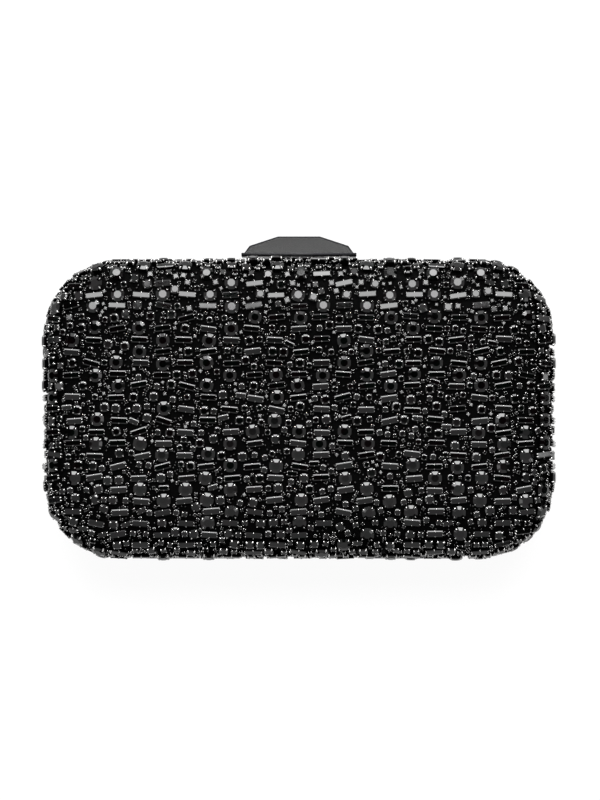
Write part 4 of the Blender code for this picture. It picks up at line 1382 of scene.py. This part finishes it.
@dataclass
class SlipPocket:
    """The slip pocket on the rear lining, gathered on an elastic hem and let fall as cloth.

    Attributes:
        half_width: Half its width between the side seams.
        low: Where its bottom seam lies along Y.
        length: How far it reaches from the bottom seam to the hem.
        floor: The height of the lining that it is sewn to.
        rise: How high its opening stands over the lining.
        cloth: The cloth's thickness.
        fullness: How much wider than the seams the flat cloth is cut.
        ease: How much longer than its reach the flat cloth is cut.
        folds: The number of gathers that the hem starts with.
        unevenness: How high those gathers are.
        onset: How late they grow from the bottom seam to the hem.
        columns: The cloth's squares across.
        rows: The cloth's squares along.
        frames: The frames of the simulation.
        scale: How many times larger than life the simulation is.
        hem: The rolled hem's radius.
        seed: The seed of the gathers' unevenness.
        stiffness: The cloth's settings in the simulation.
    """

    half_width: float = 52.0 * MM
    low: float = -32.0 * MM
    length: float = 56.0 * MM
    floor: float = 6.1 * MM
    rise: float = 6.2 * MM
    cloth: float = 0.45 * MM
    fullness: float = 1.22
    ease: float = 1.04
    folds: int = 15
    unevenness: float = 2.6 * MM
    onset: float = 0.7
    columns: int = 120
    rows: int = 60
    frames: int = 30
    scale: float = 10.0
    hem: float = 0.7 * MM
    seed: int = 4
    stiffness: tuple = (
        ("quality", 6),
        ("mass", 0.05),
        ("tension_stiffness", 15.0),
        ("compression_stiffness", 15.0),
        ("shear_stiffness", 5.0),
        ("bending_stiffness", 0.2),
    )

    def _start(self) -> tuple[list[Vector], list[Vector]]:
        """The cloth's points before the simulation, and the same points on the flat cut."""
        chance = random.Random(self.seed)
        shifts = [chance.uniform(-0.9, 0.9) for _ in range(4)]
        laid, flat = [], []
        for j in range(self.rows + 1):
            along = j / self.rows
            for i in range(self.columns + 1):
                across = 2.0 * i / self.columns - 1.0
                arch = max(0.0, 1.0 - across**4)
                turn = math.pi * self.folds * across
                uneven = sum(math.cos(turn * (0.6 + 0.35 * n) + shift) for n, shift in enumerate(shifts)) / 4
                height = self.rise * math.sin(QUARTER * along) * arch
                height += self.unevenness * uneven * along**self.onset * arch
                level = self.floor + self.cloth + height
                laid.append(Vector((across * self.half_width, self.low + along * self.length, level)))
                cut = (across * self.half_width * self.fullness, along * self.length * self.ease)
                flat.append(Vector((*cut, 0.0)))
        return laid, flat

    def _fallen(self, laid: list[Vector], flat: list[Vector]) -> list[Vector]:
        """Lets the cloth fall under its weight, held by its seams and its hem.

        Args:
            laid: Its points at the start.
            flat: The same points on the flat cut, which give the threads' lengths.

        Returns:
            Its points at rest.
        """
        width = self.columns + 1
        faces = [
            (j * width + i, j * width + i + 1, (j + 1) * width + i + 1, (j + 1) * width + i)
            for j in range(self.rows)
            for i in range(self.columns)
        ]
        mesh = bpy.data.meshes.new("pocket_cloth")
        mesh.from_pydata([point * self.scale for point in laid], [], faces)
        carrier = new_object("pocket_cloth", mesh)
        ground = bpy.data.meshes.new("pocket_ground")
        reach, level = 2.0 * self.half_width * self.scale, self.floor * self.scale
        corners = [(x, y, level) for x, y in rectangle(reach, reach)]
        ground.from_pydata(corners, [], [(0, 1, 2, 3)])
        table = new_object("pocket_ground", ground)
        table.modifiers.new("Collision", "COLLISION")
        carrier.shape_key_add(name="laid")
        rest = carrier.shape_key_add(name="flat")
        for item, point in zip(rest.data, flat):
            item.co = point * self.scale
        held = carrier.vertex_groups.new(name="held")
        seam = [j * width + i for j in range(self.rows + 1) for i in (0, self.columns)]
        held.add(seam + list(range(width)), 1.0, "REPLACE")
        held.add([self.rows * width + i for i in range(width)], 1.0, "REPLACE")
        cloth = carrier.modifiers.new("Cloth", "CLOTH")
        settings = cloth.settings
        for name, value in self.stiffness:
            setattr(settings, name, value)
        settings.vertex_group_mass = held.name
        settings.rest_shape_key = rest
        cloth.collision_settings.distance_min = 0.004
        cloth.point_cache.frame_end = self.frames
        scene = bpy.context.scene
        for number in range(1, self.frames + 1):
            scene.frame_set(number)
        seen = carrier.evaluated_get(bpy.context.evaluated_depsgraph_get())
        fallen = [vertex.co / self.scale for vertex in seen.data.vertices]
        scene.frame_set(1)
        for done in (carrier, table):
            bpy.data.objects.remove(done)
        return fallen

    def _hem(self, edge: Sequence[Vector], flat: Sequence[Vector]) -> bpy.types.Mesh:
        """The rolled hem along the opening."""
        shape = Shape()
        loops, laid = [], []
        for number, (point, place) in enumerate(zip(edge, flat)):
            ahead = edge[min(number + 1, len(edge) - 1)] - edge[max(number - 1, 0)]
            side = ahead.cross(Vector((0.0, 0.0, 1.0))).normalized()
            up = side.cross(ahead).normalized()
            turns = [math.tau * step / 8 for step in range(8)]
            ring = [point + (side * math.cos(turn) * 1.3 + up * math.sin(turn)) * self.hem for turn in turns]
            loops.append(shape.loop(ring))
            laid += [(place.x, place.y + self.hem * turn) for turn in turns]
        shape.stack(loops)
        return shape.mesh("pocket_hem", 60.0, lambda number: laid[number])

    def build(self) -> None:
        """Makes the pocket as one gathered sheet with its hem."""
        laid, flat = self._start()
        fallen = self._fallen(laid, flat)
        shape = Shape()
        width = self.columns + 1
        grid = [shape.loop(fallen[start : start + width]) for start in range(0, len(fallen), width)]
        for lower, upper in zip(grid, grid[1:]):
            for i in range(self.columns):
                shape.faces.append((lower[i], lower[i + 1], upper[i + 1], upper[i]))
        mesh = thicken(shape.mesh("slip_pocket_satin", 60.0, lambda number: flat[number][:2]), self.cloth, 1)
        whole = bmesh.new()
        whole.from_mesh(mesh)
        whole.from_mesh(self._hem(fallen[-width:], flat[-width:]))
        whole.to_mesh(mesh)
        whole.free()
        piece = add_piece("slip_pocket_satin", mesh, Finish.LINING, Body.REAR, "slip_pocket")
        size = (2.0 * self.fullness * self.half_width, self.ease * self.length + math.tau * self.hem)


@dataclass
class Hardware:
    """The metal pieces, the shells and the boards, whose shapes are the frame's own.

    Attributes:
        refined: The nodes that are rounded, with finish, body and width of the rounding.
        kept: Words in the names of the nodes that stay as they are, with their finish.
        smooth: The angle in degrees up to which metal is shaded smooth.
        facet_smooth: The same for the clasp's facets.
        margin: How much sharper than that an edge has to be to get rounded.
        rubbed: The share of the largest face under which a face is marked as an edge. On the clasp stone such
            edges are painted dull and dark.
    """

    refined: tuple = (
        ("front_frame", Finish.GUNMETAL, Body.LID, 0.25 * MM),
        ("rear_frame", Finish.GUNMETAL, Body.REAR, 0.25 * MM),
        ("rear_hinge_leaf_left", Finish.GUNMETAL, Body.REAR, 0.1 * MM),
        ("rear_hinge_leaf_right", Finish.GUNMETAL, Body.REAR, 0.1 * MM),
        ("front_hinge_leaf_left", Finish.GUNMETAL, Body.LID, 0.1 * MM),
        ("front_hinge_leaf_right", Finish.GUNMETAL, Body.LID, 0.1 * MM),
        ("clasp_lug_left", Finish.GUNMETAL, Body.REAR, 0.1 * MM),
        ("clasp_lug_right", Finish.GUNMETAL, Body.REAR, 0.1 * MM),
        ("strike_plate", Finish.GUNMETAL, Body.LID, 0.1 * MM),
        ("clasp_lever", Finish.GUNMETAL, Body.CLASP, 0.1 * MM),
        ("clasp_bezel", Finish.BEZEL, Body.CLASP, 0.12 * MM),
        ("clasp_stone", Finish.CLASP_STONE, Body.CLASP, 0.16 * MM),
    )
    kept: tuple = (
        ("hinge_pin", Finish.STEEL),
        ("clasp_pin", Finish.STEEL),
        ("clasp_spring", Finish.STEEL),
        ("clasp_rivet", Finish.STEEL),
        ("screw", Finish.STEEL),
        ("frame_rivet", Finish.GUNMETAL),
        ("shell", Finish.SHELL),
        ("board", Finish.CARD),
    )
    smooth: float = 32.0
    facet_smooth: float = 6.0
    margin: float = 8.0
    rubbed: float = 0.3

    def build(self) -> None:
        """Rounds the edges of what shows and gives every node its finish."""
        for node, finish, body, bevel in self.refined:
            smooth = self.facet_smooth if finish is Finish.CLASP_STONE else self.smooth
            rounded = self._rounded(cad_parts[node], bevel, smooth)
            add_piece(f"{node}_finished", rounded, finish, body, node)
        done = {row[0] for row in self.refined}
        for node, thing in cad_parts.items():
            for word, finish in self.kept:
                if word in node and node not in done and not thing.hide_render:
                    thing.material_slots[0].link = "OBJECT"
                    thing.material_slots[0].material = finish.material()

    def _rounded(self, node: bpy.types.Object, bevel: float, smooth: float) -> bpy.types.Mesh:
        """A merged copy of a CAD node with its sharp edges rounded.

        Args:
            node: The CAD node.
            bevel: The rounding's width.
            smooth: The angle in degrees up to which edges are shaded smooth.

        Returns:
            The copy's mesh.
        """
        copy = bmesh.new()
        copy.from_mesh(node.data)
        bmesh.ops.remove_doubles(copy, verts=copy.verts, dist=0.002 * MM)
        bmesh.ops.dissolve_limit(copy, angle_limit=math.radians(1.0), verts=copy.verts, edges=copy.edges)
        limit = math.radians(smooth + self.margin)
        sharp = [e for e in copy.edges if e.is_manifold and e.calc_face_angle(0.0) > limit]
        bmesh.ops.bevel(
            copy, geom=sharp, offset=bevel, segments=2, affect="EDGES", profile=0.5, clamp_overlap=True
        )
        mesh = bpy.data.meshes.new(f"{node.name}_rounded")
        copy.to_mesh(mesh)
        copy.free()
        mesh.shade_smooth()
        mesh.set_sharp_from_angle(angle=math.radians(smooth))
        # Small faces are marked. On the clasp stone they become its painted dark edges.
        edge = mesh.attributes.new("worn", "FLOAT", "FACE")
        largest = self.rubbed * max(polygon.area for polygon in mesh.polygons)
        edge.data.foreach_set("value", [float(polygon.area < largest) for polygon in mesh.polygons])
        return mesh


@dataclass
class Studio:
    """The camera, lamps, floor and the dark screen behind the camera."""

    distance: float = 1.162
    silhouette: float = 38.0 * MM
    shift_x: float = 0.4 * MM
    shift_y: float = 3.3 * MM
    frame_height: float = 0.2952
    sensor: float = 36.0
    ambient: float = 0.6
    wall_distance: float = 2.2
    wall_height: float = 0.9
    wall_light: float = 8.0
    wall_sides: int = 48
    wall_foot: float = 10.0 * MM
    lamps: tuple = (
        ("softbox_over_clasp", (0.0, 0.40, 1.16), (0.9, 0.26), 14.5),
        ("softbox_behind", (0.0, 0.793, 0.659), (1.0, 0.28), 18.0),
        ("strip_behind", (0.0, 1.046, 0.527), (1.1, 0.17), 2.2),
        ("strip_left", (-0.9, 0.0, 0.85), (0.9, 0.16), 3.0),
        ("strip_right", (0.9, 0.0, 0.85), (0.9, 0.16), 3.0),
    )

    def build(self) -> None:
        """Sets up the whole studio."""
        scene = bpy.context.scene
        scene.view_settings.view_transform = "Standard"
        self._camera()
        self._world()
        self._floor()
        self._screen()
        self._skirt()
        for lamp in self.lamps:
            self._lamp(*lamp)

    def _camera(self) -> None:
        """A long lens that looks straight down on the front."""
        data = bpy.data.cameras.new("camera")
        data.sensor_width = self.sensor
        data.lens = self.sensor * self.distance / self.frame_height
        data.clip_start, data.clip_end = 0.05, 50.0
        camera = new_object("camera", data)
        camera.location = (self.shift_x, self.shift_y, self.distance + self.silhouette)
        bpy.context.scene.camera = camera

    @staticmethod
    def _seen(net: Network) -> Link:
        """1 for what the camera, a gloss or clear glass shows, and 0 for plain light."""
        path = net.tree.nodes.new("ShaderNodeLightPath")
        seen = Link(net, path.outputs["Is Camera Ray"])
        for name in ("Is Glossy Ray", "Is Transmission Ray"):
            seen = seen.math("MAXIMUM", Link(net, path.outputs[name]))
        return seen

    def _world(self) -> None:
        """Plain light from all sides, seen as white."""
        world = bpy.data.worlds.new("studio")
        bpy.context.scene.world = world
        world.use_nodes = True
        net = Network(world.node_tree)
        white = (1.0, 1.0, 1.0, 1.0)
        plain = net.node("ShaderNodeBackground", {}, {"Color": white, "Strength": self.ambient})
        shown = net.node("ShaderNodeBackground", {}, {"Color": white, "Strength": 1.0})
        net.node("ShaderNodeOutputWorld", {}, {"Surface": net.mix(self._seen(net), plain, shown)})

    def _floor(self) -> None:
        """A wide white table top that keeps a faint shadow."""
        net = Surface("white_table")
        grain = net.noise(net.place(), 60.0)
        paint = net.blend(grain, grey(0.93), grey(0.97))
        matt = net.node("ShaderNodeBsdfDiffuse", {}, {"Color": paint})
        mixed = net.mix(self._seen(net) * 0.92, matt, net.glow((1.0, 1.0, 1.0, 1.0)))
        self._sheet("table_top", 5.0, 5.0, (0.0, 0.0, -0.2 * MM), net.show(mixed))

    def _screen(self) -> None:
        """A dark screen over the camera, grey on the side away from the clasp."""
        net = Surface("dark_screen")
        share = net.parts(net.place())[1] * -22.0 - 0.7
        share = share.math("MAXIMUM", 0.0).math("MINIMUM", 1.0)
        shade = net.ramp(share, (0.0, grey(0.004)), (1.0, grey(0.84)))
        self._sheet("dark_screen", 2.2, 1.0, (0.0, -0.5, 1.5), net.show(net.glow(shade)))

    def _skirt(self) -> None:
        """A low dark wall with slits of light round the table, which only steep facets show."""
        net = Surface("dark_wall")
        slits = net.noise(net.place(), 2.0, 1.0, (0.5, 0.5, 5.0))
        shade = net.ramp(slits, (0.50, grey(0.0015)), (0.60, grey(0.012)), (0.72, grey(1.0)))
        shape = Shape()
        turns = [math.tau * step / self.wall_sides for step in range(self.wall_sides)]
        low, high = (
            shape.loop((self.wall_distance * math.cos(a), self.wall_distance * math.sin(a), z) for a in turns)
            for z in (self.wall_foot, self.wall_height)
        )
        shape.bridge(low, high)
        mesh = shape.mesh("dark_wall")
        mesh.materials.append(net.show(net.glow(shade, self.wall_light)))
        wall = new_object("dark_wall", mesh)
        wall.visible_camera = wall.visible_diffuse = wall.visible_shadow = wall.visible_transmission = False

    @staticmethod
    def _sheet(name: str, half_x: float, half_y: float, place: Point, material: bpy.types.Material) -> None:
        """Adds a flat piece of the studio."""
        mesh = bpy.data.meshes.new(name)
        corners = [(place[0] + x, place[1] + y, place[2]) for x, y in rectangle(half_x, half_y)]
        mesh.from_pydata(corners, [], [(0, 1, 2, 3)])
        mesh.materials.append(material)
        thing = new_object(name, mesh)

    @staticmethod
    def _lamp(name: str, place: Point, size: tuple[float, float], brightness: float) -> None:
        """Adds a softbox that faces the clutch.

        Args:
            name: Its name.
            place: Where it hangs.
            size: Its width and height.
            brightness: How bright its face is, where 1 is white.
        """
        data = bpy.data.lights.new(name, "AREA")
        data.shape = "RECTANGLE"
        data.size, data.size_y = size
        data.energy = brightness * math.pi * size[0] * size[1]
        lamp = new_object(name, data)
        lamp.location = place
        lamp.rotation_euler = (-Vector(place)).to_track_quat("-Z", "Y").to_euler()


def main() -> None:
    """Builds the clutch's looks in order."""
    logging.basicConfig(level=logging.INFO, format="%(name)s: %(message)s")
    for assembly in (FrontCover(), RearCover(), Linings(), SlipPocket(), Hardware(), Studio()):
        assembly.build()


if __name__ == "__main__":
    main()
